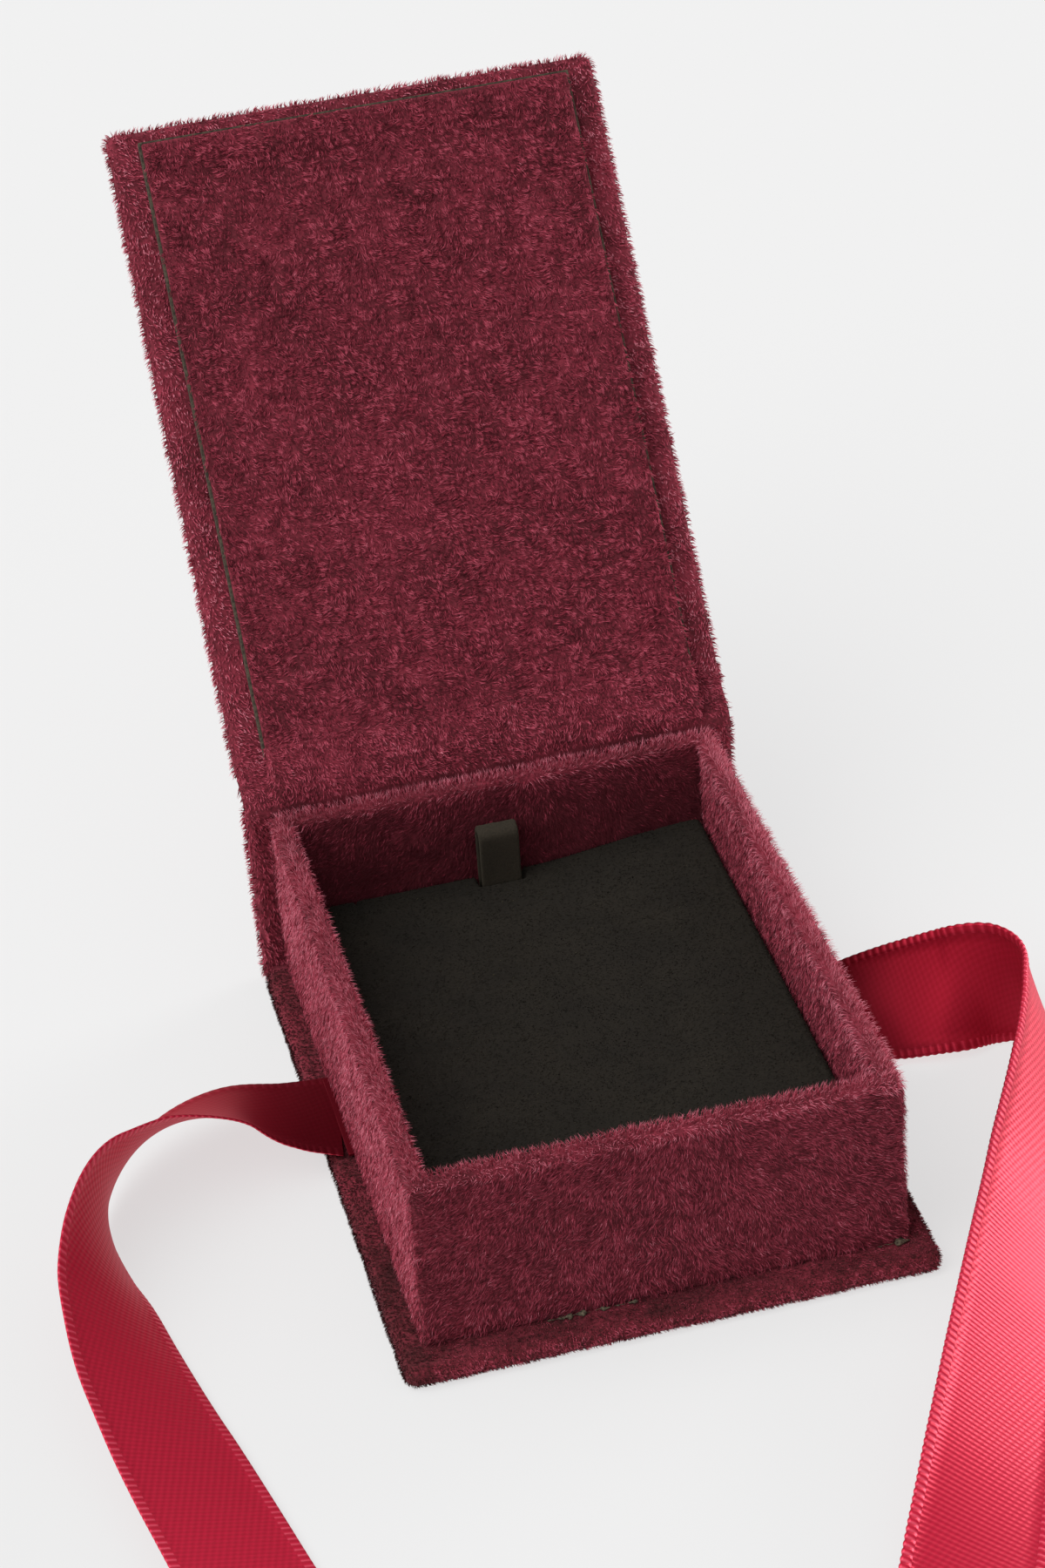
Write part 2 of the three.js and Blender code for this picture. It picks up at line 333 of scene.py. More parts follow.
def span(*nodes: str) -> tuple[Array, Array]:
    """Lowest and highest corner of some CAD nodes together, in millimetres."""
    corners = np.array([[list(c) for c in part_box(n)] for n in nodes]) / MM
    return corners[:, 0].min(0), corners[:, 1].max(0)


def local_span(node: str, place: Place) -> tuple[Array, Array]:
    """Measures a CAD node in the coordinates of a place.

    Args:
        node: the node's name.
        place: whose coordinates to use.
    Returns:
        Its lowest and highest corner, in millimetres.
    """
    own = np.array([v.co for v in frame["nodes"][node].data.vertices], float).reshape(-1, 3)
    turned = place.back(own / MM)
    return turned.min(0), turned.max(0)


# ---------------------------------------------------------------- finishes


@dataclass(frozen=True)
class Dye:
    """The four shades of one dyed yarn, from the shaded foot of the pile to its lit tips."""

    deep: str
    body: str
    light: str
    bright: str


BURGUNDY = Dye("#5b222a", "#923545", "#b44f61", "#d07888")
# painted shade: a darker copy of the burgundy, for the base in the tray's shade
SHADED_BURGUNDY = Dye("#3f1c1d", "#8a303e", "#b04c5e", "#d07888")
# painted light: a paler copy of the black, for the light on the pull tab
PAINTED_LIT_BLACK = Dye("#2a261f", "#383229", "#484236", "#7d7662")
BLACK = Dye("#1c1915", "#25211b", "#2e2a22", "#5a5442")


@dataclass(frozen=True)
class Velvet:
    """Plush polyester velvet, knitted and sheared: a dark ground seen between leaning tufts.

    The ground is rough and nearly black in its gaps, and the sheen whitens it where it is seen
    from the side, as a standing pile does.
    """

    name: str
    dye: Dye
    grain_mm: float = 0.55
    patch_mm: float = 9.0
    sheen: float = 0.35

    def ground(self) -> bpy.types.Material:
        """The knitted ground under the pile, mottled at the size of a tuft and of a brushed patch.

        Returns:
            The material.
        """
        material, tree, shader = new_material(f"{self.name}_ground")
        where = add(tree, "TexCoord").outputs["Object"]
        tufts = add(tree, "TexNoise", {"Vector": where, "Scale": 1 / (self.grain_mm * MM),
                                       "Detail": 3.0}).outputs["Fac"]
        patches = add(tree, "TexNoise", {"Vector": where, "Scale": 1 / (self.patch_mm * MM),
                                         "Detail": 2.0}).outputs["Fac"]
        both = add(tree, "Math", {0: tufts, 1: patches, 2: 0.12}, operation="MULTIPLY_ADD")
        shade = add(tree, "ValToRGB", {"Fac": both.outputs[0]},
                    ((0.25, self.dye.deep), (0.55, self.dye.body)))
        bump = add(tree, "Bump", {"Height": tufts, "Strength": 0.6, "Distance": 0.25 * MM})
        feed(tree, shader, {
            "Base Color": shade.outputs["Color"], "Normal": bump.outputs["Normal"], "Roughness": 0.95,
            "Specular IOR Level": 0.2, "Sheen Weight": self.sheen, "Sheen Roughness": 0.5,
            "Sheen Tint": linear(self.dye.bright)})
        return material

    def pile(self) -> list[bpy.types.Material]:
        """The tufts themselves: matte yarn with a soft sheen, in one plain shade for each step of the dye.

        Returns:
            Four materials, from the shaded foot to the lit tips.
        """
        shades = []
        for step in ("deep", "body", "light", "bright"):
            material, tree, shader = new_material(f"{self.name}_pile_{step}")
            feed(tree, shader, {
                "Base Color": linear(getattr(self.dye, step)), "Roughness": 0.9,
                "Specular IOR Level": 0.12, "Sheen Weight": self.sheen, "Sheen Roughness": 0.4,
                "Sheen Tint": linear(self.dye.bright)})
            shades.append(material)
        return shades


def new_material(name: str) -> tuple[bpy.types.Material, bpy.types.NodeTree, bpy.types.Node]:
    """A material with one Principled shader.

    Args:
        name: the material's name.
    Returns:
        The material, its node tree and its shader node.
    """
    material = bpy.data.materials.new(name)
    material.use_nodes = True
    tree = material.node_tree
    return material, tree, tree.nodes["Principled BSDF"]


class RibbonFace(Enum):
    """The two faces of single-face satin ribbon."""

    SATIN = "satin"
    DULL = "dull"


@dataclass(frozen=True)
class SatinRibbon:
    """Single-face polyester satin, woven: long glossy warp floats on one face, matte weft on the other.

    The floats run along the ribbon, so its highlights spread across it. The twill of the floats shows
    as fine slanted rows, and the two edges are bound by a ribbed selvedge.
    """

    width_mm: float = 19.0
    selvedge_mm: float = 1.45
    row_mm: float = 0.95
    stitch_mm: float = 0.78
    rib_mm: float = 1.15
    relief_mm: float = 0.07
    # painted shade: the dull face's colour falls to painted_shade_to near the tray
    painted_shade_mm: tuple[float, float] = (3.0, 24.0)
    painted_shade_to: float = 0.3
    # The palest colour of each face is reached on the selvedge ribs' crests: real ribs, with a partly painted
    # highlight on them.
    satin: tuple[str, str, str] = ("#b11b34", "#c8223f", "#e4566c")
    weft: tuple[str, str, str] = ("#991829", "#a51c31", "#bd2f44")

    def wave(self, tree: bpy.types.NodeTree, across: bpy.types.NodeSocket, along: bpy.types.NodeSocket,
             way: tuple[float, float], pitch: float) -> bpy.types.NodeSocket:
        """A sine wave over the cloth: sin(2 pi (a across + b along) / pitch).

        Args:
            tree: the material's node tree.
            across: millimetres across the ribbon.
            along: millimetres along it.
            way: a and b.
            pitch: millimetres from crest to crest.
        Returns:
            The wave, -1 to 1.
        """
        turn = 2 * math.pi / pitch
        part = add(tree, "Math", {0: across, 1: way[0] * turn}, operation="MULTIPLY").outputs[0]
        whole = add(tree, "Math", {0: along, 1: way[1] * turn, 2: part}, operation="MULTIPLY_ADD")
        return add(tree, "Math", {0: whole.outputs[0]}, operation="SINE").outputs[0]

    def relief(self, tree: bpy.types.NodeTree, across: bpy.types.NodeSocket,
               along: bpy.types.NodeSocket) -> bpy.types.NodeSocket:
        """Height of the threads: two crossing waves for the twill, and one for the selvedge's ribs.

        The rows are drawn coarser than woven satin's are, because finer ones wouldn't show.

        Args:
            tree: the material's node tree.
            across: millimetres across the ribbon.
            along: millimetres along it.
        Returns:
            The height, about -1 to 2.
        """
        row = self.wave(tree, across, along, (0.9, -0.45), self.row_mm)
        stitch = self.wave(tree, across, along, (0.2, 0.98), self.stitch_mm)
        both = add(tree, "Math", {0: row, 1: stitch}, operation="ADD").outputs[0]
        weave = add(tree, "Math", {0: both, 1: 0.5}, operation="MULTIPLY").outputs[0]
        ribs = self.wave(tree, across, along, (0.15, 1.0), self.rib_mm)
        bars = add(tree, "Math", {0: ribs, 1: 1.1, 2: 0.7}, operation="MULTIPLY_ADD").outputs[0]
        away = add(tree, "Math", {0: across, 1: self.width_mm / 2}, operation="SUBTRACT").outputs[0]
        far = add(tree, "Math", {0: away}, operation="ABSOLUTE").outputs[0]
        rim = add(tree, "Math", {0: far, 1: self.width_mm / 2 - self.selvedge_mm},
                  operation="GREATER_THAN").outputs[0]
        return add(tree, "Mix", {"Factor": rim, "A": weave, "B": bars}).outputs["Result"]

    def build(self, face: RibbonFace) -> bpy.types.Material:
        """One face of the ribbon. The UV map runs across and along it in millimetres.

        The dull face is painted darker towards the tray over `painted_shade_mm`, as painted shade.

        Args:
            face: which face.
        Returns:
            The material.
        """
        glossy = face is RibbonFace.SATIN
        material, tree, shader = new_material(f"polyester_ribbon_{face.value}")
        cloth = add(tree, "SeparateXYZ", {0: add(tree, "UVMap", uv_map="surface").outputs["UV"]})
        across, along = cloth.outputs["X"], cloth.outputs["Y"]
        height = self.relief(tree, across, along)
        shade = add(tree, "MapRange", {"Value": height, "From Min": -2.0, "From Max": 2.0})
        colours = zip((0.25, 0.75, 1.0), self.satin if glossy else self.weft)
        colour = add(tree, "ValToRGB", {"Fac": shade.outputs[0]}, tuple(colours)).outputs["Color"]
        if not glossy:
            # painted shade: the dull face is darker towards the tray
            painted_shade_factor = add(tree, "MapRange", {
                "Value": along, "From Min": self.painted_shade_mm[0], "From Max": self.painted_shade_mm[1],
                "To Min": self.painted_shade_to, "To Max": 1.0}, interpolation_type="SMOOTHSTEP")
            colour = add(tree, "VectorMath", {0: colour, "Scale": painted_shade_factor.outputs[0]},
                         operation="SCALE").outputs[0]
        bump = add(tree, "Bump", {"Height": height, "Strength": 0.5 if glossy else 0.12,
                                  "Distance": self.relief_mm * MM})
        feed(tree, shader, {
            "Base Color": colour, "Normal": bump.outputs["Normal"],
            "Metallic": 0.3 if glossy else 0.45, "Roughness": 0.4 if glossy else 0.5,
            "Specular IOR Level": 0.5 if glossy else 0.25, "Specular Tint": linear("#ff8c9a"),
            "Sheen Weight": 0.3 if glossy else 0.12, "Sheen Roughness": 0.4,
            "Sheen Tint": linear("#ff5a72")})
        if glossy:
            tangent = add(tree, "Tangent", direction_type="UV_MAP", uv_map="surface")
            feed(tree, shader, {"Anisotropic": 0.7, "Tangent": tangent.outputs["Tangent"]})
        return material


@dataclass(frozen=True)
class Greyboard:
    """Pressed grey bookbinding board: dull, with flecks of unpulped paper."""

    name: str = "pressed_greyboard"
    fleck_mm: float = 0.7
    dark: str = "#5b5347"
    pale: str = "#857b6c"

    def build(self) -> bpy.types.Material:
        """The board's faces and its fuzzy cut edge.

        Returns:
            The material.
        """
        material, tree, shader = new_material(self.name)
        where = add(tree, "TexCoord").outputs["Object"]
        flecks = add(tree, "TexNoise", {"Vector": where, "Scale": 1 / (self.fleck_mm * MM),
                                        "Detail": 5.0}).outputs["Fac"]
        shade = add(tree, "ValToRGB", {"Fac": flecks}, ((0.35, self.dark), (0.7, self.pale)))
        bump = add(tree, "Bump", {"Height": flecks, "Strength": 0.4, "Distance": 0.08 * MM})
        feed(tree, shader, {"Base Color": shade.outputs["Color"], "Normal": bump.outputs["Normal"],
                            "Roughness": 0.9})
        return material


# ---------------------------------------------------------------- shapes


@dataclass(frozen=True)
class Plan:
    """A rounded rectangle seen from above, and how finely it is divided."""

    half_x: float
    half_y: float
    radius: float
    step: float = 0.6
    corner_points: int = 6
    sharpest: float = 0.08

    def outline(self, inset: float) -> Array:
        """The rectangle drawn in by a distance, its corners' radius falling by as much.

        Each corner is a quarter circle about its own centre, and straight runs join them. The number
        of points doesn't change with the inset, so outlines can be joined into a sheet.

        Args:
            inset: how far inside the rectangle, in millimetres.
        Returns:
            n by 2 points, anticlockwise.
        """
        nx, ny, nc = self.counts()
        r = max(self.radius - inset, self.sharpest)
        middle = np.array([self.half_x - inset - r, self.half_y - inset - r])
        signs = np.array([(1, -1), (1, 1), (-1, 1), (-1, -1)])
        pieces = []
        for k in range(4):
            turn = np.radians(-90 + 90 * k) + np.linspace(0, np.pi / 2, nc, endpoint=False)
            centre, following = signs[k] * middle, signs[(k + 1) % 4] * middle
            arc = centre + r * np.stack([np.cos(turn), np.sin(turn)], axis=1)
            last = np.radians(90 * k)
            end = r * np.array([np.cos(last), np.sin(last)])
            a, b = centre + end, following + end
            t = np.linspace(0, 1, ny if k % 2 == 0 else nx, endpoint=False)[:, None]
            pieces += [arc, a + (b - a) * t]
        return np.concatenate(pieces)

    def counts(self) -> tuple[int, int, int]:
        """Divides the outline evenly.

        Returns:
            Points on the x run, the y run and each corner.
        """
        nx = max(2, round(2 * (self.half_x - self.radius) / self.step))
        ny = max(2, round(2 * (self.half_y - self.radius) / self.step))
        return nx, ny, self.corner_points

    def ringed(self, rings: Array) -> Array:
        """Stacks outlines into a sheet: each ring has an inset, a height and a scale about the middle.

        Args:
            rings: m by 3, one row for each ring.
        Returns:
            Points by parameter: along the outline, then from ring to ring.
        """
        flat = np.stack([self.outline(d) * s for d, _, s in rings], axis=1)
        height = np.broadcast_to(rings[:, 1], flat.shape[:2])
        return np.concatenate([flat, height[..., None]], axis=2)


def quarter(radius: float, n: int = 5) -> Array:
    """Rounding of an edge, from its side to its top: how far in and how far below the top."""
    a = np.linspace(0, np.pi / 2, n)
    return np.stack([radius * (1 - np.cos(a)), radius * (1 - np.sin(a))], axis=1)


def slab_rings(low: float, high: float, edge: float, fine: float, step: float) -> Array:
    """Rings of a closed slab with rounded edges, from the middle of its lower face to that of its upper.

    Args:
        low: height of the lower face.
        high: height of the upper face.
        edge: radius of both edges.
        fine: how far in from the edge the rings stay fine.
        step: their spacing there.
    Returns:
        m by 3 rows of inset, height and scale.
    """
    inner = np.stack([np.full(8, fine), np.full(8, low), np.linspace(0, 0.92, 8)], axis=1)  # to the middle
    spread = np.arange(fine, edge, -step)
    flat = np.stack([spread, np.full(len(spread), low), np.ones(len(spread))], axis=1)
    bend = quarter(edge)[::-1]
    lower = np.stack([bend[:, 0], low + bend[:, 1], np.ones(len(bend))], axis=1)
    rise = np.linspace(low + edge, high - edge, max(2, int((high - low - 2 * edge) / step) + 1))[1:-1]
    side = np.stack([np.zeros(len(rise)), rise, np.ones(len(rise))], axis=1)
    half = np.concatenate([inner, flat, lower])
    upper = half[::-1].copy()
    upper[:, 1] = low + high - upper[:, 1]
    return np.concatenate([half, side, upper])


@dataclass(frozen=True)
class Nap:
    """How a velvet's pile grows: how long, how thick, how close and which way it leans."""

    length: float = 1.1
    width: float = 0.13
    per_mm2: float = 15.0
    rise_deg: float = 38.0
    clump: float = 0.75
    gather: float = 0.55
    stray: float = 0.35
    swirl_mm: float = 7.0
    swirl_deg: float = 55.0
    standing_deg: float = 78.0
    sway_mm: float = 2.5
    sway_deg: float = 12.0
    jitter_deg: float = 9.0
    foot_share: float = 0.42
    tip_share: float = 0.58

    def grow(self, sheet: Sheet, comb: Array, weight: Array, seed: int,
             stand: Array | None = None) -> tuple[Array, Array, Array]:
        """Grows tufts on a sheet.

        Roots are spread evenly by area. Each fibre is a ribbon of two faces that tapers to a point:
        it leans along the comb direction turned by smooth noise, bends over as it rises, and its tip
        is drawn towards the middle of the tuft that it belongs to.

        Args:
            sheet: the ground.
            comb: one direction for each of the sheet's points, roughly along the surface.
            weight: 0 to 1 for each of the sheet's points: how thickly the pile grows there.
            seed: picks the roots.
            stand: 0 to 1 for each of the sheet's points: how much the pile stands up there.
        Returns:
            Points (5 for each fibre), roots, and each fibre's tone: 0 to 1 at random, and lighter where
            the pile stands up, painted light for standing pile seen from the side.
        """
        rng = np.random.default_rng(int(seed))
        quads = sheet.quads()
        p = sheet.points.reshape(-1, 3)
        diagonals = p[quads[:, 2]] - p[quads[:, 0]], p[quads[:, 3]] - p[quads[:, 1]]
        area = 0.5 * np.linalg.norm(np.cross(*diagonals), axis=1)
        share = area * weight.reshape(-1)[quads].mean(1)
        count = int(share.sum() * self.per_mm2)
        pick = np.searchsorted(np.cumsum(share) / share.sum(), rng.random(count)).clip(0, len(quads) - 1)
        a, b = rng.random((2, count, 1))
        mix = [(1 - a) * (1 - b), a * (1 - b), a * b, (1 - a) * b]

        def blend(values: Array) -> Array:
            """Reads a field of the sheet's points at the roots."""
            return sum(m * values[quads[pick, k]] for k, m in enumerate(mix))

        root = blend(p)
        n = unit(blend(sheet.normals().reshape(-1, 3)))
        way = blend(comb.reshape(-1, 3))
        along = unit(way - (way * n).sum(1, keepdims=True) * n)
        up = np.zeros(count) if stand is None else blend(stand.reshape(-1, 1))[:, 0]
        swirl = noise(root, self.swirl_mm, seed + 1) + 0.5 * noise(root, self.swirl_mm / 3, seed + 2)
        turn = np.radians(self.swirl_deg) * swirl
        turn += self.stray * rng.normal(size=count)
        side = np.cross(n, along)
        lean = self.rise_deg + (self.standing_deg - self.rise_deg) * up
        sway = self.sway_deg * noise(root, self.sway_mm, seed + 3)
        rise = np.radians(lean + sway + self.jitter_deg * rng.normal(size=count))[:, None]
        turn += 0.9 * up * rng.normal(size=count)
        along = along * np.cos(turn)[:, None] + side * np.sin(turn)[:, None]
        reach = self.length * (0.75 + 0.5 * rng.random((count, 1))) * (1 + 0.25 * up[:, None])
        first = along * np.cos(rise) + n * np.sin(rise)
        second = along * np.cos(rise * 0.6) + n * np.sin(rise * 0.6)
        middle = root + first * reach * self.foot_share
        tip = middle + second * reach * self.tip_share
        cell = np.floor(root / self.clump)
        heart = (cell + np.stack([lattice(cell, seed + k) for k in (4, 5, 6)], axis=1)) * self.clump
        heart = heart + (along * np.cos(rise) + n * np.sin(rise)) * self.length * 0.9
        pull = self.gather * (heart - tip)
        pull -= (pull * n).sum(1, keepdims=True) * n * 0.7
        tip = tip + pull
        middle = middle + 0.4 * pull
        face = unit(np.cross(first, n + 0.5 * rng.normal(size=(count, 3)))) * self.width * 0.5
        slim = face * 0.8
        points = np.stack([root - face, root + face, middle + slim, middle - slim, tip], axis=1)
        # painted light: standing pile gets a higher tone, so lighter shades
        tone = rng.random(count) + 0.9 * up
        return points, root, tone


@dataclass(frozen=True)
class Shading:
    """How fibres share out the four shades of their dye, by a tone of about 0 to 1."""

    mottle: float = 0.42
    strands: float = 0.15
    tuft_mm: float = 0.9
    foot_steps: tuple[float, ...] = (0.5, 1.1)
    tip_steps: tuple[float, ...] = (0.14, 0.5, 0.9)
    table: float = 0.06

    def piece(self, name: str, points: Array, tone: Array, velvet: Velvet,
              lift: float | Array = 0.0) -> bpy.types.Object:
        """Makes an object of grown fibres. Each is two triangles for its foot and one for its tip.

        A fibre's shade rises with its tone, with a smooth field that differs from tuft to tuft, and
        with a random share of its own. No fibre goes below the table.

        Args:
            name: the piece's name.
            points: fibres by 5 by 3.
            tone: one number for each fibre, from Nap.grow.
            velvet: whose pile it is.
            lift: shifts the shades towards the lit tips.
        Returns:
            The object.
        """
        first = np.arange(len(points))[:, None] * 5
        faces = np.concatenate([first + np.array([corners]) for corners in ((0, 1, 2), (0, 2, 3), (3, 2, 4))])
        tufts = noise(points[:, 4], self.tuft_mm, Seed.TUFT_SHADE)
        strand = lattice(np.floor(points[:, 0] * 997), Seed.FIBRE_SHADE)
        tone = 0.5 + self.mottle * tufts + self.strands * (strand - 0.5) + 0.3 * (tone - 0.5) + lift
        points[..., 2] = np.maximum(points[..., 2], self.table)
        foot, tip = np.digitize(tone, self.foot_steps), np.digitize(tone, self.tip_steps)
        slots = np.concatenate([foot, foot, tip])
        return make_object(name, points.reshape(-1, 3), faces, velvet.pile(), slots, merge=False)


# ---------------------------------------------------------------- the box


@dataclass
class Finishes:
    """Every finish of the box, made once.

    The plush covers the box, wine red with pink tips where it catches light. The base's is a darker
    copy, painted shade, and shorter, so that more of its dark ground shows. The flock on the pad is
    short and nearly black, and the tab's is a paler copy, painted light. Raw card edges are brown and
    fuzzy, and dried glue is a mottled pale brown.
    """

    plush: Velvet = Velvet("burgundy_plush_velvet", BURGUNDY)
    # painted shade: the base's darker copy of the plush
    shaded_plush: Velvet = Velvet("painted_shade_burgundy_velvet", SHADED_BURGUNDY, sheen=0.25)
    flock: Velvet = Velvet("black_flocked_velvet", BLACK, grain_mm=0.35, sheen=0.12)
    # painted light: the tab's paler black
    tab: Velvet = Velvet("painted_lit_black_velvet", PAINTED_LIT_BLACK, grain_mm=0.3, sheen=0.3)

    def __post_init__(self) -> None:
        """Builds the materials that several pieces share."""
        self.ground = self.plush.ground()
        self.shaded_ground = self.shaded_plush.ground()
        self.black_ground = self.flock.ground()
        self.tab_ground = self.tab.ground()
        self.board = Greyboard().build()
        self.card_edge = Greyboard("raw_card_edge", 0.5, "#2a231b", "#5e5443").build()
        self.glue = Greyboard("dried_glue_on_backing", 0.35, "#2c2118", "#756b56").build()
        self.satin = SatinRibbon().build(RibbonFace.SATIN)
        self.dull = SatinRibbon().build(RibbonFace.DULL)


def dress(nodes: list[str], material: bpy.types.Material) -> None:
    """Gives CAD nodes that stay in view a material.

    Args:
        nodes: their names.
        material: the material.
    """
    for name in nodes:
        item = frame["nodes"][name]
        for spot in item.material_slots:
            spot.link = "OBJECT"
            spot.material = material
        log.info("%s: kept from the frame, %s", name, material.name)


def settle(item: bpy.types.Object, body: str, slot: str, *nodes: str) -> None:
    """Lets a finished piece ride on its body and stand for its CAD nodes.

    Args:
        item: the piece.
        body: the body's name.
        slot: the name of its material slot in the record; not used.
        nodes: the CAD nodes that it replaces, if any.
    """
    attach(item, body)
    if nodes:
        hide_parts(*nodes)
    log.info("%s: %d faces, rides on %s", item.name, len(item.data.polygons), body)


@dataclass
class Tray:
    """The open tray: one strip of velvet over four board walls, down inside to below the pad.

    The pile's tone is raised by `painted_side_sheen` on the two long sides: painted sheen of pile seen
    from the side. It isn't grown below `seen_from` inside, where the pad hides it.
    """

    finishes: Finishes
    ground_in: float = 0.3
    wall: float = 3.2
    corner: float = 1.1
    edge: float = 0.95
    skin: float = 0.12
    painted_side_sheen: float = 0.9
    seen_from: float = 12.5
    ribbon_y: float = 6.2
    ribbon_half: float = 10.2
    glue_spots: tuple[tuple[float, float, float], ...] = (
        (-18.0, -11.5, 0.42), (-11.0, -8.6, 0.3), (-8.2, -4.6, 0.36), (31.2, 36.2, 0.5))
    nap: Nap = Nap(length=1.2, width=0.105, per_mm2=16.0, rise_deg=33, gather=0.35, stray=0.3, swirl_mm=3.4)
    shading: Shading = Shading(mottle=0.3, strands=0.9)
    low: Array = field(init=False)
    high: Array = field(init=False)

    def __post_init__(self) -> None:
        """Reads the tray's size from its four covers."""
        self.low, self.high = span(*[f"tray_cover_{side}" for side in SIDES])

    def cover(self) -> Sheet:
        """The velvet's ground: outlines carried up the outside, over the rim and down the inside.

        A second layer follows a little further in, so that the sheet closes into a skin. Where the
        ribbon comes out, the skin's lower edge arches over it.

        Returns:
            The closed skin.
        """
        plan = Plan(self.high[0], self.high[1], self.corner, 0.7)
        g, top, foot = self.ground_in, self.high[2] - self.ground_in, self.low[2]
        far, hidden = self.wall - g, self.seen_from - 4
        bend = quarter(self.edge, 6)
        outside = np.linspace(foot, top - self.edge, 36)[:-1]
        inside = np.linspace(top - self.edge, hidden, 24)[1:]
        outer = [(g, z) for z in outside] + [(g + i, top - b) for i, b in bend]
        inner = [(far - i, top - b) for i, b in bend[::-1]] + [(far, z) for z in inside]
        back = [(far - self.skin, hidden), (far - self.skin, top - 1.3), (g + self.skin, top - 1.3),
                (g + self.skin, foot)]
        points = plan.ringed(np.array([(d, z, 1.0) for d, z in outer + inner + back]))
        beside = np.abs(points[..., 0]) > self.high[0] - 1.6
        past = np.abs(points[..., 1] - self.ribbon_y) - self.ribbon_half
        arch = 0.95 * (1 - smooth((past + 0.6) / 1.2))
        reach = 1 - smooth((points[..., 2] - foot) / 3)
        points[..., 2] += np.where(beside, arch * reach, 0)
        sheet = Sheet(points, True, True)
        broad = 0.08 * noise(points, 3.5, Seed.TRAY_COVER + 1)
        bumps = 0.1 + 0.12 * noise(points, 1.3, Seed.TRAY_COVER) + broad
        sheet.points = points + sheet.normals() * bumps[..., None]
        return sheet

    def glue(self) -> None:
        """Dried glue in the crease under the front wall, where it matted the pile down to its backing.

        Each fleck is a thin bead along the crease: a circle of noise-worn radius carried along x, drawn
        to a point at both ends.
        """
        rings, around = 60, 14
        for number, (start, stop, radius) in enumerate(self.glue_spots):
            x = np.linspace(start, stop, rings)
            a = np.linspace(0, 2 * np.pi, around, endpoint=False)
            taper = np.sqrt(np.clip(np.sin(np.linspace(0, np.pi, rings)), 0, 1))
            crease = [np.full(rings, self.low[1] - 0.35), np.full(rings, self.low[2] + 0.05)]
            spine = np.stack([x, *crease], axis=1)
            wear = 0.55 + 1.3 * noise(spine, 0.7, Seed.GLUE_SHAPE + number)
            worn = radius * taper * np.clip(wear, 0.08, 1.3)
            points = np.empty((rings, around, 3))
            points[..., 0] = x[:, None]
            points[..., 1] = spine[:, 1:2] + worn[:, None] * np.cos(a) * 1.2
            points[..., 2] = spine[:, 2:] + worn[:, None] * np.sin(a) * 0.9
            points += 0.12 * noise(points, 0.4, Seed.GLUE_SKIN)[..., None] * taper[:, None, None]
            bead = sheet_object(f"glue_{number}", Sheet(points, False, True), [self.finishes.glue])
            settle(bead, "box", "velvet")

    def comb(self, sheet: Sheet) -> Array:
        """The pile's lie: down the outside, outwards over the rim, and spreading from the front's middle.

        Args:
            sheet: the cover.
        Returns:
            One direction for each of its points.
        """
        n, p = sheet.normals(), sheet.points
        flat = np.zeros_like(p[..., 0])
        way = np.zeros_like(p)
        way[..., 2] = -1
        spread = np.stack([p[..., 0] - 6, flat, p[..., 2] - 34], axis=-1)
        way = np.where((n[..., 1] < -0.5)[..., None], unit(spread), way)
        outwards = np.stack([p[..., 0], p[..., 1], flat], axis=-1)
        way = np.where((n[..., 2] > 0.5)[..., None], unit(outwards), way)
        drift = np.array([0, -0.5, -1.0])
        return np.where((np.abs(n[..., 0]) > 0.5)[..., None], drift, way)

    def thickness(self, sheet: Sheet) -> Array:
        """How thickly the pile grows: only where it can be seen, and thinner on the two long sides.

        Args:
            sheet: the cover.
        Returns:
            0 to 1 for each of its points.
        """
        n, p = sheet.normals(), sheet.points
        shown = (p[..., 2] > 4.0) & (n[..., 2] > -0.5)
        inner = (n[..., :2] * p[..., :2]).sum(-1) < -0.3
        shown &= ~inner | (p[..., 2] > self.seen_from)
        shown &= ~((n[..., 1] > 0.6) & (p[..., 1] > self.high[1] - 1.5))
        shown[:, -4:] = False
        return shown * np.where(np.abs(n[..., 0]) > 0.5, 0.67, 1.0)

    def build(self) -> None:
        """Makes the cover and its pile, one piece of pile for each side of the tray.

        The long sides are painted lighter, as painted sheen. Inside, the pile is painted darker downwards, as
        painted shade. The rims are painted lighter, the right one most, as painted light. The back is painted
        darker for the lid's shade, the front's outside a little darker, and the left's outside darker towards
        its foot, all painted shade.
        """
        sheet = self.cover()
        skin = sheet_object("tray_velvet", sheet, [self.finishes.ground])
        settle(skin, "box", "velvet", *[f"tray_cover_{s}" for s in SIDES])
        dress([f"tray_board_{s}" for s in SIDES] + ["tray_bottom"], self.finishes.board)
        stand = smooth((sheet.normals()[..., 2] - 0.2) / 0.6)
        comb, weight = self.comb(sheet), self.thickness(sheet)
        points, root, tone = self.nap.grow(sheet, comb, weight, Seed.TRAY_PILE, stand)
        x, y, z = root.T
        ratio = np.abs(x) / self.high[0] - np.abs(y) / self.high[1]
        # painted sheen: the long sides' pile gets lighter shades
        tone += np.where((ratio > 0) & (z < self.high[2] - 1.0), self.painted_side_sheen, 0.0)
        below = z < self.high[2] - 1.2
        within = below & (np.abs(x) < self.high[0] - 1.8) & (np.abs(y) < self.high[1] - 1.8)
        chosen = dict(zip(SIDES, ((ratio <= 0) & (y < 0), (ratio <= 0) & (y > 0), (ratio > 0) & (x < 0),
                                  (ratio > 0) & (x > 0))))
        # painted shade: inside the tray, the pile is darker further down
        lift = -0.45 * within * smooth((self.high[2] - z - 1) / 12)
        # painted light: the rims are lighter, the right rim most
        lift = lift + np.where(~below, np.where(x > self.high[0] - 3.4, 0.6, 0.16), 0.0)
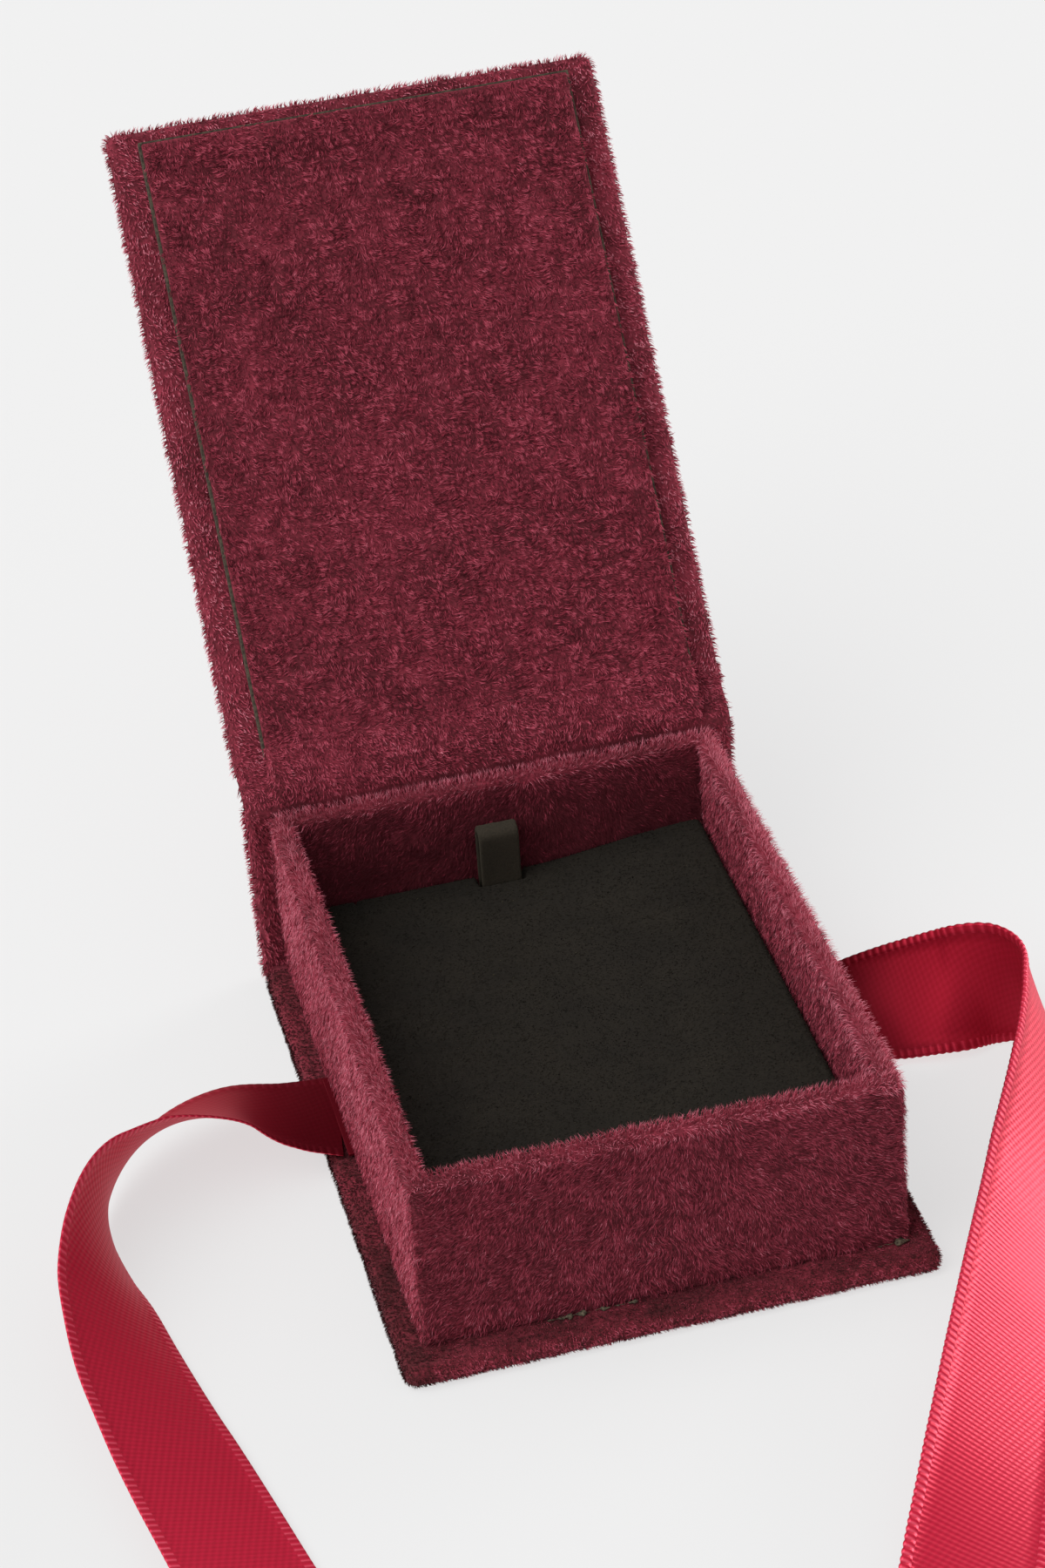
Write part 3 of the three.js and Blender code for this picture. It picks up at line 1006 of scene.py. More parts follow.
        # painted shade: the outside of the front wall is darker
        lift[chosen["front"] & below & ~within] -= 0.16
        # painted shade: the back wall is darker, for the lid's shade
        lift[chosen["back"] & below] -= 0.3
        # painted shade: the left wall's outside is darker towards its foot
        lift -= 0.35 * (chosen["left"] & ~within) * smooth((18 - z) / 14)
        self.glue()
        for side, part in chosen.items():
            item = self.shading.piece(f"tray_pile_{side}", points[part], tone[part], self.finishes.plush,
                                      lift[part])
            settle(item, "box", "velvet")


@dataclass
class Panel:
    """A flat board wrapped in velvet, with rounded edges: the base, the spine or the lid.

    The pile's tone is lowered by `shaded`, and by `shaded_left` more past `left_from` on the left: painted
    shade, and painted light where it is negative.
    """

    name: str
    node: str
    body: str
    place: Place
    velvet: Velvet
    ground: bpy.types.Material
    seed: Seed
    comb: tuple[float, float, float] = (0.2, -1.0, 0.0)
    nap: Nap = Nap(per_mm2=6.1, width=0.2, length=1.0)
    shaded: float = 0.0
    shaded_left: float = 0.0
    left_from: float = 35.5
    corner: float = 1.4
    edge: float = 1.2
    fine: float = 6.0
    ground_in: float = 0.35

    def sheet(self) -> Sheet:
        """The velvet's ground as a closed slab with uneven faces, in the panel's own coordinates.

        Returns:
            The slab.
        """
        low, high = local_span(self.node, self.place)
        g = self.ground_in
        plan = Plan((high[0] - low[0]) / 2 - g, (high[1] - low[1]) / 2 - g, self.corner)
        rings = slab_rings(low[2] + g, high[2] - g, self.edge, self.fine, 0.5)
        points = plan.ringed(rings) + np.array([0, (low[1] + high[1]) / 2, 0])
        sheet = Sheet(points, True, False)
        broad = 0.06 * noise(points, 4, Seed.PANEL_COVER + 1)
        bumps = 0.08 + 0.1 * noise(points, 1.3, Seed.PANEL_COVER) + broad
        sheet.points = points + sheet.normals() * bumps[..., None]
        return sheet

    def build(self, bare: Callable[[Array, Array], Array], **piles: Callable[[Array], Array]) -> None:
        """Makes the panel's velvet, and its pile in one or more pieces.

        Args:
            bare: takes points and normals, and says where no pile is grown.
            piles: piece name to a function of the roots that chooses the piece's fibres.
        """
        sheet = self.sheet()
        n = sheet.normals()
        weight = (~bare(sheet.points, n)).astype(float)
        way = np.broadcast_to(np.array(self.comb), n.shape)
        stand = 0.6 * (1 - smooth((np.abs(n[..., 2]) - 0.5) / 0.4))
        points, root, tone = self.nap.grow(sheet, way, weight, self.seed, stand)
        tone -= self.shaded + self.shaded_left * smooth((-root[:, 0] - self.left_from) / 1.5)
        skin = sheet_object(self.name, sheet.moved(self.place), [self.ground])
        settle(skin, self.body, "velvet", self.node)
        for title, choose in piles.items():
            part = choose(root)
            item = Shading().piece(title, self.place.out(points[part]), tone[part], self.velvet)
            settle(item, self.body, "velvet")


@dataclass
class Liner:
    """The velvet-covered card glued inside the lid, cut square so that its raw edge shows."""

    place: Place
    finishes: Finishes
    raw_edge: float = 0.35
    ridge_in: float = 4.6
    nap: Nap = Nap(length=1.2, width=0.14, per_mm2=14.5, rise_deg=34, clump=1.0, gather=0.75, stray=0.3,
                   swirl_mm=2.4, swirl_deg=80)

    def ridge(self, y: Array, end: float) -> Array:
        """A low bell-shaped ridge across the face near its upper end, over the lid's turned-in velvet."""
        return 0.35 * np.exp(-(((y - end + self.ridge_in) / 1.1) ** 2))

    def build(self) -> None:
        """Makes the velvet face, its pile, and dresses the card under it."""
        low, high = local_span("liner_cover", self.place)
        cut = self.raw_edge
        plan = Plan((high[0] - low[0]) / 2 - cut, (high[1] - low[1]) / 2 - cut, 0.4)
        rings = slab_rings(low[2], high[2] - 0.35, 0.25, 3.0, 0.5)
        points = plan.ringed(rings) + np.array([0, (low[1] + high[1]) / 2, 0])
        top = points[..., 2] > (low[2] + high[2]) / 2
        uneven = self.ridge(points[..., 1], high[1]) + 0.1 * noise(points, 3.5, Seed.LINER_COVER)
        points[..., 2] += np.where(top, uneven, 0)
        skin = Sheet(points, True, False).moved(self.place)
        face = sheet_object("liner_velvet", skin, [self.finishes.ground])
        settle(face, "lid", "liner_velvet", "liner_cover")
        dress(["liner_card"], self.finishes.card_edge)
        grid = self.face_grid(low, high)
        all_over = np.ones(grid.points.shape[:2])
        fibres, root, tone = self.nap.grow(grid, self.comb(grid), all_over, Seed.LINER_PILE)
        upper = root[:, 1] > (low[1] + high[1]) / 2
        for title, part in {"liner_pile_upper": upper, "liner_pile_lower": ~upper}.items():
            item = Shading().piece(title, self.place.out(fibres[part]), tone[part], self.finishes.plush, -0.1)
            settle(item, "lid", "liner_velvet")

    def face_grid(self, low: Array, high: Array) -> Sheet:
        """Lays a plain grid just over the panel's face, which its pile grows from.

        Args:
            low: the panel's lowest corner.
            high: its highest corner.
        Returns:
            The grid, in the lid's own coordinates.
        """
        x = np.linspace(low[0] + self.raw_edge, high[0] - self.raw_edge - 0.1, 120)
        y = np.linspace(low[1] + 0.1, high[1] - self.raw_edge, 160)
        gx, gy = np.meshgrid(x, y, indexing="ij")
        gz = high[2] - 0.4 + self.ridge(gy, high[1])
        return Sheet(np.stack([gx, gy, gz], axis=-1))

    def comb(self, sheet: Sheet) -> Array:
        """The pile's lie: down the panel, drifting to the right lower down.

        Args:
            sheet: the grid.
        Returns:
            One direction for each of its points.
        """
        drift = 0.9 * smooth((75 - sheet.points[..., 1]) / 60)
        return np.stack([0.35 + drift, -np.ones_like(drift), np.zeros_like(drift)], axis=-1)


@dataclass
class Pad:
    """The lift-out pad: foam under black flocked velvet, notched at the back for its pull tab.

    It sits a little bowed, so that its right side rides higher on the wall.
    """

    finishes: Finishes
    crown: float = 0.45
    settled: float = 0.5
    bowed: float = 2.6
    slit_x: float = 24.6
    slit_length: float = 7.0
    tab_thick: float = 0.95
    flock: Nap = Nap(length=0.34, width=0.12, per_mm2=5.5, rise_deg=50, clump=0.5, gather=0.2, swirl_deg=120)
    tab_nap: Nap = Nap(length=0.35, width=0.12, per_mm2=24.0, rise_deg=55, clump=0.5, gather=0.2,
                       swirl_deg=60)

    def build(self) -> None:
        """Makes the pad's cover and its tab.

        The top face's height is a crown, a bow that grows to the right, two thin slits at the back
        and a notch around the tab, each an eased step or a bell over x and y.
        """
        low, high = span("pad_cover")
        tab_low, tab_high = span("pull_tab")
        plan = Plan(high[0] - 0.15, high[1] - 0.15, 1.2, 0.36)
        points = plan.ringed(slab_rings(low[2], high[2] - self.crown, 1.1, 12.0, 0.6))
        x, y = points[..., 0], points[..., 1]
        top = smooth((points[..., 2] - high[2] + 3) / 2)
        bow = (1 - (x / high[0]) ** 4) * (1 - (y / high[1]) ** 4)
        crown = self.crown * np.clip(bow, 0, 1) + 0.06 * noise(points, 9, Seed.PAD_COVER)
        bell = np.exp(-(((np.abs(x) - self.slit_x) / 0.22) ** 2))
        cut = bell * smooth((y - high[1] + self.slit_length) / 1.5)
        cut *= np.where(x < 0, 1.0, 0.3)
        middle = (tab_low[0] + tab_high[0]) / 2
        notch = smooth((tab_high[0] - tab_low[0]) / 2 + 0.9 - np.abs(x - middle))
        notch = notch * smooth((y - tab_low[1] + 0.9) / 0.8)
        lift = self.settled + self.bowed * smooth((x - 2) / 30)
        points[..., 2] += top * (crown + lift - 0.7 * cut - 2.2 * notch)
        cover = sheet_object("pad_velvet", Sheet(points, True, False), [self.finishes.black_ground])
        settle(cover, "pad", "black_velvet", "pad_cover")
        dress(["pad_card", "pad_foam"], self.finishes.board)
        self.build_flock(points)
        self.build_tab(tab_low, tab_high)

    def build_flock(self, points: Array) -> None:
        """Makes short upright flock over the pad's top face, with a few pale specks of lint.

        Args:
            points: the cover's points.
        """
        sheet = Sheet(points, True, False)
        weight = (sheet.normals()[..., 2] > 0.5).astype(float)
        way = np.broadcast_to(np.array([0.4, -1.0, 0]), points.shape)
        fibres, _, tone = self.flock.grow(sheet, way, weight, Seed.PAD_FLOCK)
        specks = 0.7 * (tone > 0.992) - 0.12
        item = Shading().piece("pad_flock", fibres, tone, self.finishes.flock, specks)
        settle(item, "pad", "black_velvet")

    def build_tab(self, low: Array, high: Array) -> None:
        """Makes the pull tab: a flat strip folded over, carried along an upside-down U.

        The strip's middle line runs up the front leg, round the fold and down the back leg. Its
        section is a thin rounded rectangle, so the fold keeps soft edges. The fold's top is painted paler, a
        painted highlight.

        Args:
            low: the tab's lowest corner.
            high: its highest corner.
        """
        thick, level = self.tab_thick, np.array([1.0, 0, 0])
        radius = (high[1] - low[1]) / 2 - thick / 2 + 0.25
        mid_y, top = (low[1] + high[1]) / 2, high[2] - thick / 2 - radius
        leg = np.linspace(low[2] + 1, top, 24)
        a = np.linspace(np.pi, 0, 15)[1:-1]
        y = np.concatenate([np.full(24, -radius), radius * np.cos(a), np.full(24, radius)])
        z = np.concatenate([leg, top + radius * np.sin(a), leg[::-1]])
        lean = 0.25 * smooth((z - 17) / 8)
        line = np.stack([np.zeros_like(y), mid_y + y - lean, z], axis=1)
        out = np.cross(level, unit(np.gradient(line, axis=0)))
        section = Plan((high[0] - low[0]) / 2, thick / 2, 0.38, 0.35).outline(0.0)
        taper = np.ones(len(line))[:, None, None]
        taper[[0, -1]] = 0
        rows = (line[:, None] + section[None, :, :1] * level * taper
                + section[None, :, 1:] * out[:, None] * taper)
        rows[..., 0] += (low[0] + high[0]) / 2
        rows += 0.04 * noise(rows, 0.8, Seed.TAB_COVER)[..., None]
        sheet = Sheet(rows[::-1], False, True)
        tab = sheet_object("tab_strip", sheet, [self.finishes.tab_ground])
        settle(tab, "pad", "black_velvet", "pull_tab")
        way = np.broadcast_to(np.array([0.0, -0.3, 1.0]), sheet.points.shape)
        all_over = np.ones(sheet.points.shape[:2])
        fibres, _, tone = self.tab_nap.grow(sheet, way, all_over, Seed.TAB_FLOCK)
        # painted highlight: the fold's top gets paler shades
        worn = 0.5 * smooth((fibres[:, 0, 2] - top - 0.3) / 1.2)
        settle(Shading().piece("tab_flock", fibres, tone, self.finishes.tab, worn), "pad", "black_velvet")


@dataclass(frozen=True)
class Route:
    """The line a ribbon tail lies along, with its bank in degrees: 0 dull face up, 180 satin face up."""

    name: str
    stations: tuple[tuple[float, float, float, float], ...]
    length: float = 230.0
    rib_high: float = 0.3

    def line(self, run: Array) -> tuple[Array, Array]:
        """Place and bank at distances along the tail.

        A Catmull-Rom curve passes through the stations, its ends continued straight, and is then
        read by its true length.

        Args:
            run: distances from the tail's start, in millimetres.
        Returns:
            Points (n by 3) and bank angles in radians.
        """
        p = np.array(self.stations, float)
        ext = np.vstack([2 * p[0] - p[1], p, 2 * p[-1] - p[-2]])
        t = np.linspace(0, len(p) - 1, 6000)
        i = np.minimum(t.astype(int), len(p) - 2)
        u = (t - i)[:, None]
        a, b, c, d = ext[i], ext[i + 1], ext[i + 2], ext[i + 3]
        q = 0.5 * (2 * b + (c - a) * u + (2 * a - 5 * b + 4 * c - d) * u**2
                   + (3 * b - a - 3 * c + d) * u**3)
        far = lengths(q[:, :3])
        found = np.stack([np.interp(run, far, q[:, k]) for k in range(4)], axis=1)
        return found[:, :3], np.radians(found[:, 3])


LEFT_TAIL = Route("left", (
    (-36.4, 6.4, 4.1, 0), (-44, 7.5, 5.4, 8), (-52, 8, 8.5, 19), (-59.5, 6.2, 10, 32),
    (-66.2, 2.6, 10.4, 50), (-71.8, -3.2, 10, 71), (-75, -10.4, 9.8, 95), (-76.7, -18.2, 8.8, 115),
    (-77.2, -26, 7.4, 133), (-76.8, -34, 6.1, 143), (-76, -42, 5.1, 151), (-74.7, -50, 4.3, 156),
    (-73.3, -57.6, 3.6, 161), (-71.8, -65.4, 3.1, 164), (-70.3, -73.2, 2.9, 165.5), (-68.8, -81, 2.6, 167),
    (-67.3, -89, 2, 171), (-65.8, -97, 1.3, 175.5), (-64.3, -105, 0.7, 179), (-62.8, -113, 0.5, 180),
    (-61.3, -121, 0.5, 180), (-59.8, -129, 0.5, 180), (-58.3, -137, 0.5, 180), (-56.8, -145, 0.5, 180),
    (-53.8, -161, 0.5, 180), (-50.8, -177, 0.5, 180), (-47.8, -193, 0.5, 180),
), rib_high=0.07)
RIGHT_TAIL = Route("right", (
    (36.4, 6, 4.1, 0), (40.2, 5.6, 4.6, 3), (44, 5, 5, 13), (51.5, 3, 6.1, 32), (58.5, 0.3, 8.2, 46),
    (65.2, -1.9, 9.4, 70), (70, -7.6, 10, 101), (69, -15.5, 9.9, 111.5), (66.2, -23, 9.3, 115),
    (63, -30.2, 8.8, 119), (59.7, -37.4, 8.2, 124.5), (56.3, -44.6, 7.7, 130), (52.9, -51.9, 7.2, 134.5),
    (49.4, -59, 6.7, 138.5), (45.8, -66.2, 6.3, 142), (42.2, -73.3, 5.8, 145), (38.6, -80.4, 5.4, 148),
    (35, -87.6, 5, 151), (31.4, -94.8, 4.5, 155), (27.8, -102, 3.6, 160), (24.2, -109, 2.6, 166),
    (20.6, -116, 1.6, 172), (17, -123, 0.8, 178), (13.4, -130, 0.5, 180), (9.8, -137, 0.5, 180),
    (2.6, -151.3, 0.5, 180), (-4.6, -165.6, 0.5, 180), (-11.8, -179.9, 0.5, 180),
))


@dataclass
class Ribbon:
    """The tie ribbon: the part held under the tray and a free tail on each side."""

    finishes: Finishes
    cloth: SatinRibbon = SatinRibbon()
    thick: float = 0.28
    slant: float = 9.0
    held_half: float = 37.0

    def strip(self, route: Route) -> tuple[Sheet, Array]:
        """A closed flat tube carried along the route: the satin face, then the dull face back.

        Across it, the height is the cloth's thickness, a little more on the two selvedges, which are
        ribbed by a rounded wave along the ribbon. The far end is cut on a slant.

        Args:
            route: where it lies.
        Returns:
            The tube, and the line of its middle.
        """
        half, selvedge = self.cloth.width_mm / 2, self.cloth.selvedge_mm
        inner = np.linspace(-half + selvedge, half - selvedge, 11)
        rim = half - selvedge + selvedge * np.array([0.12, 0.3, 0.55, 0.8, 0.95, 1.0])
        across = np.concatenate([-rim[::-1], inner, rim])
        run = np.arange(0, route.length + 0.1, 0.24)
        share = run / run[-1]
        s = share[:, None] * (route.length - self.slant * (0.5 + across[None, :] / self.cloth.width_mm))
        at, bank = route.line(s.ravel())
        ahead = unit(route.line(s.ravel() + 0.6)[0] - route.line(s.ravel() - 0.6)[0])
        level = unit(np.cross(np.array([0, 0, 1.0]), ahead))
        up = np.cross(ahead, level)
        wide = level * np.cos(bank)[:, None] + up * np.sin(bank)[:, None]
        face = np.cross(ahead, wide)
        offset = np.tile(across, len(run))
        bound = smooth((np.abs(offset) - half + selvedge) / 0.3)
        edge = np.abs(offset) > half - 0.01
        ribs = np.abs(np.sin(np.pi * s.ravel() / self.cloth.rib_mm))
        deep = np.where(edge, 0.03, self.thick / 2 + route.rib_high * (bound * (0.5 + 0.5 * ribs)))
        scallop = np.where(edge, 0.6 * route.rib_high * ribs, 0) * np.sign(offset)
        centre = at + wide * (offset + scallop)[:, None]
        shape = (len(run), len(across), 3)
        dull = (centre + face * deep[:, None]).reshape(shape)
        satin = (centre - face * deep[:, None]).reshape(shape)
        points = np.concatenate([satin, dull[:, ::-1]], axis=1)
        u = np.concatenate([across, across[::-1]]) + half
        v = np.concatenate([s, s[:, ::-1]], axis=1)
        uv = np.stack(np.broadcast_arrays(u[None, :], v), axis=-1)
        return Sheet(points, False, True, uv), route.line(run)[0]

    def build(self) -> None:
        """Makes both tails and the held part."""
        finishes = self.finishes
        for route in (LEFT_TAIL, RIGHT_TAIL):
            sheet, line = self.strip(route)
            rows, n = sheet.points.shape[:2]
            slots = np.tile((np.arange(n) >= n // 2).astype(int), rows - 1)
            item = sheet_object(f"ribbon_{route.name}", sheet, [finishes.satin, finishes.dull], slots)
            settle(item, "box", "satin", f"ribbon_tail_{route.name}")
        low, high = span("ribbon_under")
        plan = Plan(self.held_half, (high[1] - low[1]) / 2, 0.3, 1.5)
        rings = slab_rings(low[2], high[2], 0.12, 2.0, 0.6)
        points = plan.ringed(rings) + np.array([0, (low[1] + high[1]) / 2, 0])
        held = sheet_object("ribbon_held", Sheet(points, True, False), [finishes.dull])
        settle(held, "box", "satin", "ribbon_under")


@dataclass(frozen=True)
class Fold:
    """One strip of the hinge: its line in the y, z plane, half its width, and which way it faces."""

    name: str
    line: Array
    half: float
    thick: float
    seed: Seed
    turned: bool = False


@dataclass
class Hinge:
    """The velvet that joins spine and lid.

    The liner's velvet runs on past its card and tucks in behind the tray. A wider strip under it
    covers the gap beside it, and a third closes the back.
    """

    place: Place
    finishes: Finishes
    nap: Nap = Nap(length=1.0, width=0.17, per_mm2=12.0, rise_deg=34, swirl_mm=3.5, swirl_deg=70)
    fold_nap: Nap = Nap(length=0.75, width=0.15, per_mm2=16.0, rise_deg=40)

    def strip(self, fold: Fold) -> Sheet:
        """A closed flat tube across the box's width over a smoothed line, its long edges rounded in.

        Args:
            fold: the strip's line and sizes.
        Returns:
            The tube.
        """
        line = self.curve(fold.line, 26)
        ahead = unit(np.gradient(line, axis=0))
        out = np.stack([-ahead[:, 1], ahead[:, 0]], axis=1) * fold.thick / 2
        ring = np.concatenate([line + out, (line - out)[::-1]])
        x = np.linspace(-1, 1, 116) * fold.half
        end = np.clip((fold.half - np.abs(x)) / 0.5, 0, 1)
        slim = np.sqrt(1 - (1 - end) ** 2) * 0.94 + 0.06
        core = np.concatenate([line, line[::-1]])
        points = np.empty((len(x), len(ring), 3))
        points[..., 0] = x[:, None]
        points[..., 1:] = core + (ring - core) * slim[:, None, None]
        sheet = Sheet(points, False, True)
        points += sheet.normals() * (0.1 * noise(points, 1.4, Seed.HINGE_COVER))[..., None]
        return sheet

    def curve(self, line: Array, n: int) -> Array:
        """Reads a line evenly by its length, and then smooths it ten times by averaging neighbours.

        Args:
            line: its corners, in the y, z plane.
            n: how many points to read.
        Returns:
            The points. The two ends are kept.
        """
        far = lengths(line)
        t = np.linspace(0, far[-1], n)
        x = np.stack([np.interp(t, far, line[:, k]) for k in range(2)], axis=1)
        for _ in range(10):
            x[1:-1] = 0.25 * x[:-2] + 0.5 * x[1:-1] + 0.25 * x[2:]
        return x

    def folds(self) -> list[Fold]:
        """Works out the three strips, each from the box up to the lid.

        Returns:
            The lining, the strip over the gap and the back.
        """
        _, tray = span("tray_cover_back")
        spine_low, spine_high = span("spine_cover")
        liner_low, liner_high = local_span("liner_cover", self.place)
        top = liner_high[2] - 0.6
        own = np.array([[0, liner_low[1] + 1.5, top], [0, liner_low[1] - 1.5, top], [0, -1.0, top],
                        [0, 1.7, -0.5], [0, 4.6, -0.5], [0, 1.7, -3.1], [0, 5.0, -3.1]])
        p = self.place.out(own)[:, 1:]
        crease = np.array([tray[1] + 0.6, tray[2] + 0.9])
        tuck = np.array([tray[1] + 1.3, tray[2] - 1.5])
        back = spine_high[1] - 0.4
        inner = np.array([tuck, crease, p[2], p[1], p[0]])
        beside = np.array([[spine_low[1] + 0.4, spine_high[2] - 2.0],
                           [spine_low[1] + 0.6, spine_high[2] + 0.2],
                           [spine_high[1] - 1.6, spine_high[2] + 1.0], p[3], p[4]])
        outer = np.array([[back, spine_high[2] - 3.2], [back + 0.1, spine_high[2] - 0.8],
                          np.array(self.place.origin)[1:] + [1.2, -1.5], p[5], p[6]])
        wide = spine_high[0] - 0.5
        return [Fold("hinge_lining", inner, liner_high[0] - 0.1, 1.1, Seed.HINGE_LINING),
                Fold("hinge_gap", beside, wide, 0.7, Seed.HINGE_GAP),
                Fold("hinge_back", outer, wide, 0.7, Seed.HINGE_BACK, True)]

    def build(self) -> None:
        """Makes the strips and their pile between the box and the lid, riding on neither."""
        rim = float(span("tray_cover_back")[1][2])
        for fold in self.folds():
            sheet = self.strip(fold)
            n = sheet.normals()
            seen = n[..., 1] > 0.2 if fold.turned else (n[..., 1] < -0.2) | (n[..., 2] > 0.5)
            seen &= fold.turned | (sheet.points[..., 2] > rim + 1.3)
            way = np.broadcast_to(np.array([0.3, -0.2, -1.0]), sheet.points.shape)
            fibres, _, tone = self.nap.grow(sheet, way, seen.astype(float), fold.seed)
            pieces = [sheet_object(fold.name, sheet, [self.finishes.ground]),
                      Shading().piece(f"{fold.name}_pile", fibres, tone, self.finishes.plush)]
            for item in pieces:
                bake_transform(item)
                log.info("%s: bends between box and lid", item.name)
            if fold.name == "hinge_gap":
                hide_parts("hinge_cloth")
        self.lower_fold()

    def lower_fold(self) -> None:
        """Makes the velvet bend between base and spine, which doesn't open: a short thick strip."""
        _, base_high = span("base_cover")
        spine_low, spine_high = span("spine_cover")
        middle = base_high[2] / 2 + 0.1
        line = np.array([[base_high[1] - 4.0, middle], [spine_low[1] + 2.2, middle]])
        fold = Fold("base_fold", line, spine_high[0] - 0.35, base_high[2] - 1.0, Seed.FOLD_PILE)
        sheet = self.strip(fold)
        n = sheet.normals()
        way = np.broadcast_to(np.array([0.0, -1.0, -0.3]), n.shape)
        ends = (np.abs(n[..., 0]) > 0.4).astype(float)
        fibres, _, tone = self.fold_nap.grow(sheet, way, ends, fold.seed)
        settle(sheet_object("base_fold", sheet, [self.finishes.ground]), "box", "velvet")
        # painted shade: the fold's pile is darker, like the base beside it
        settle(Shading().piece("base_fold_pile", fibres, tone - 0.4, self.finishes.plush), "box", "velvet")


# ---------------------------------------------------------------- setting


@dataclass(frozen=True)
class Studio:
    """A plain pale floor, soft light from the upper left and from low on the right, and the camera."""

    eye: tuple[float, float, float] = (-104.96, -474.70, 394.56)
    right: tuple[float, float, float] = (0.9661483, -0.2493181, -0.0663171)
    down: tuple[float, float, float] = (-0.1944929, -0.5350022, -0.8221588)
    ahead: tuple[float, float, float] = (0.1694992, 0.8072256, -0.5653821)
    lens: float = 62.69
    room: float = 0.5
    right_lamp: float = 3.2
    left_lamp: float = 2.3
    table_return: float = 0.2
    table_glow: float = 0.64
    table_half: float = 3000.0

    def camera(self) -> None:
        """A 24 mm high frame, so the lens sets the height of view."""
        data = bpy.data.cameras.new("camera")
        data.sensor_fit = "VERTICAL"
        data.sensor_height = 24.0  # mm, as the lens is
        data.lens = self.lens
        data.clip_start, data.clip_end = 0.01, 20.0
        item = bpy.data.objects.new("camera", data)
        axes = np.array([self.right, -np.array(self.down), -np.array(self.ahead)]).T
        matrix = np.eye(4)
        matrix[:3, :3] = axes
        matrix[:3, 3] = np.array(self.eye) * MM
        item.matrix_world = Matrix(matrix.tolist())
        bpy.context.scene.collection.objects.link(item)
        bpy.context.scene.camera = item

    def floor(self) -> None:
        """A plain pale light table, 6 m across: opal acrylic that glows a little, so shadows stay faint."""
        x = np.linspace(-self.table_half, self.table_half, 3)
        gx, gy = np.meshgrid(x, x, indexing="ij")
        sheet = Sheet(np.stack([gx, gy, np.zeros_like(gx)], axis=-1))
        material, tree, shader = new_material("backlit_opal_acrylic")
        feed(tree, shader, {
            "Base Color": (self.table_return,) * 3 + (1.0,), "Roughness": 0.9, "Specular IOR Level": 0.0,
            "Emission Color": linear("#ffffff"), "Emission Strength": self.table_glow})
        sheet_object("floor", sheet, [material])

    def lamp(self, name: str, toward: tuple[float, float, float], strength: float, spread_deg: float) -> None:
        """A broad far softbox.

        Args:
            name: the lamp's name.
            toward: the way from the box to the lamp.
            strength: light that reaches a surface facing it, in watts per square metre.
            spread_deg: how wide it looks from the box.
        """
        data = bpy.data.lights.new(name, "SUN")
        data.energy = strength
        data.angle = math.radians(spread_deg)
        item = bpy.data.objects.new(name, data)
        back = unit(np.array(toward))
        side = unit(np.cross([0, 1.0, 0.01], back))
        matrix = np.eye(4)
        matrix[:3, :3] = np.array([side, np.cross(back, side), back]).T
        matrix[:3, 3] = back
        item.matrix_world = Matrix(matrix.tolist())
        bpy.context.scene.collection.objects.link(item)

    def build(self) -> None:
        """Sets everything up."""
        self.camera()
        self.floor()
        world = bpy.data.worlds.new("studio")
        world.use_nodes = True
        feed(world.node_tree, world.node_tree.nodes["Background"],
             {"Color": linear("#ffffff"), "Strength": self.room})
        bpy.context.scene.world = world
        self.lamp("softbox_right", (0.93, 0.36, 0.12), self.right_lamp, 30)
        self.lamp("softbox_left", (-0.6, -0.1, 0.75), self.left_lamp, 60)
        bpy.context.scene.view_settings.view_transform = "Standard"


def everything(root: Array) -> Array:
    """Chooses every fibre."""
    return np.ones(len(root), bool)


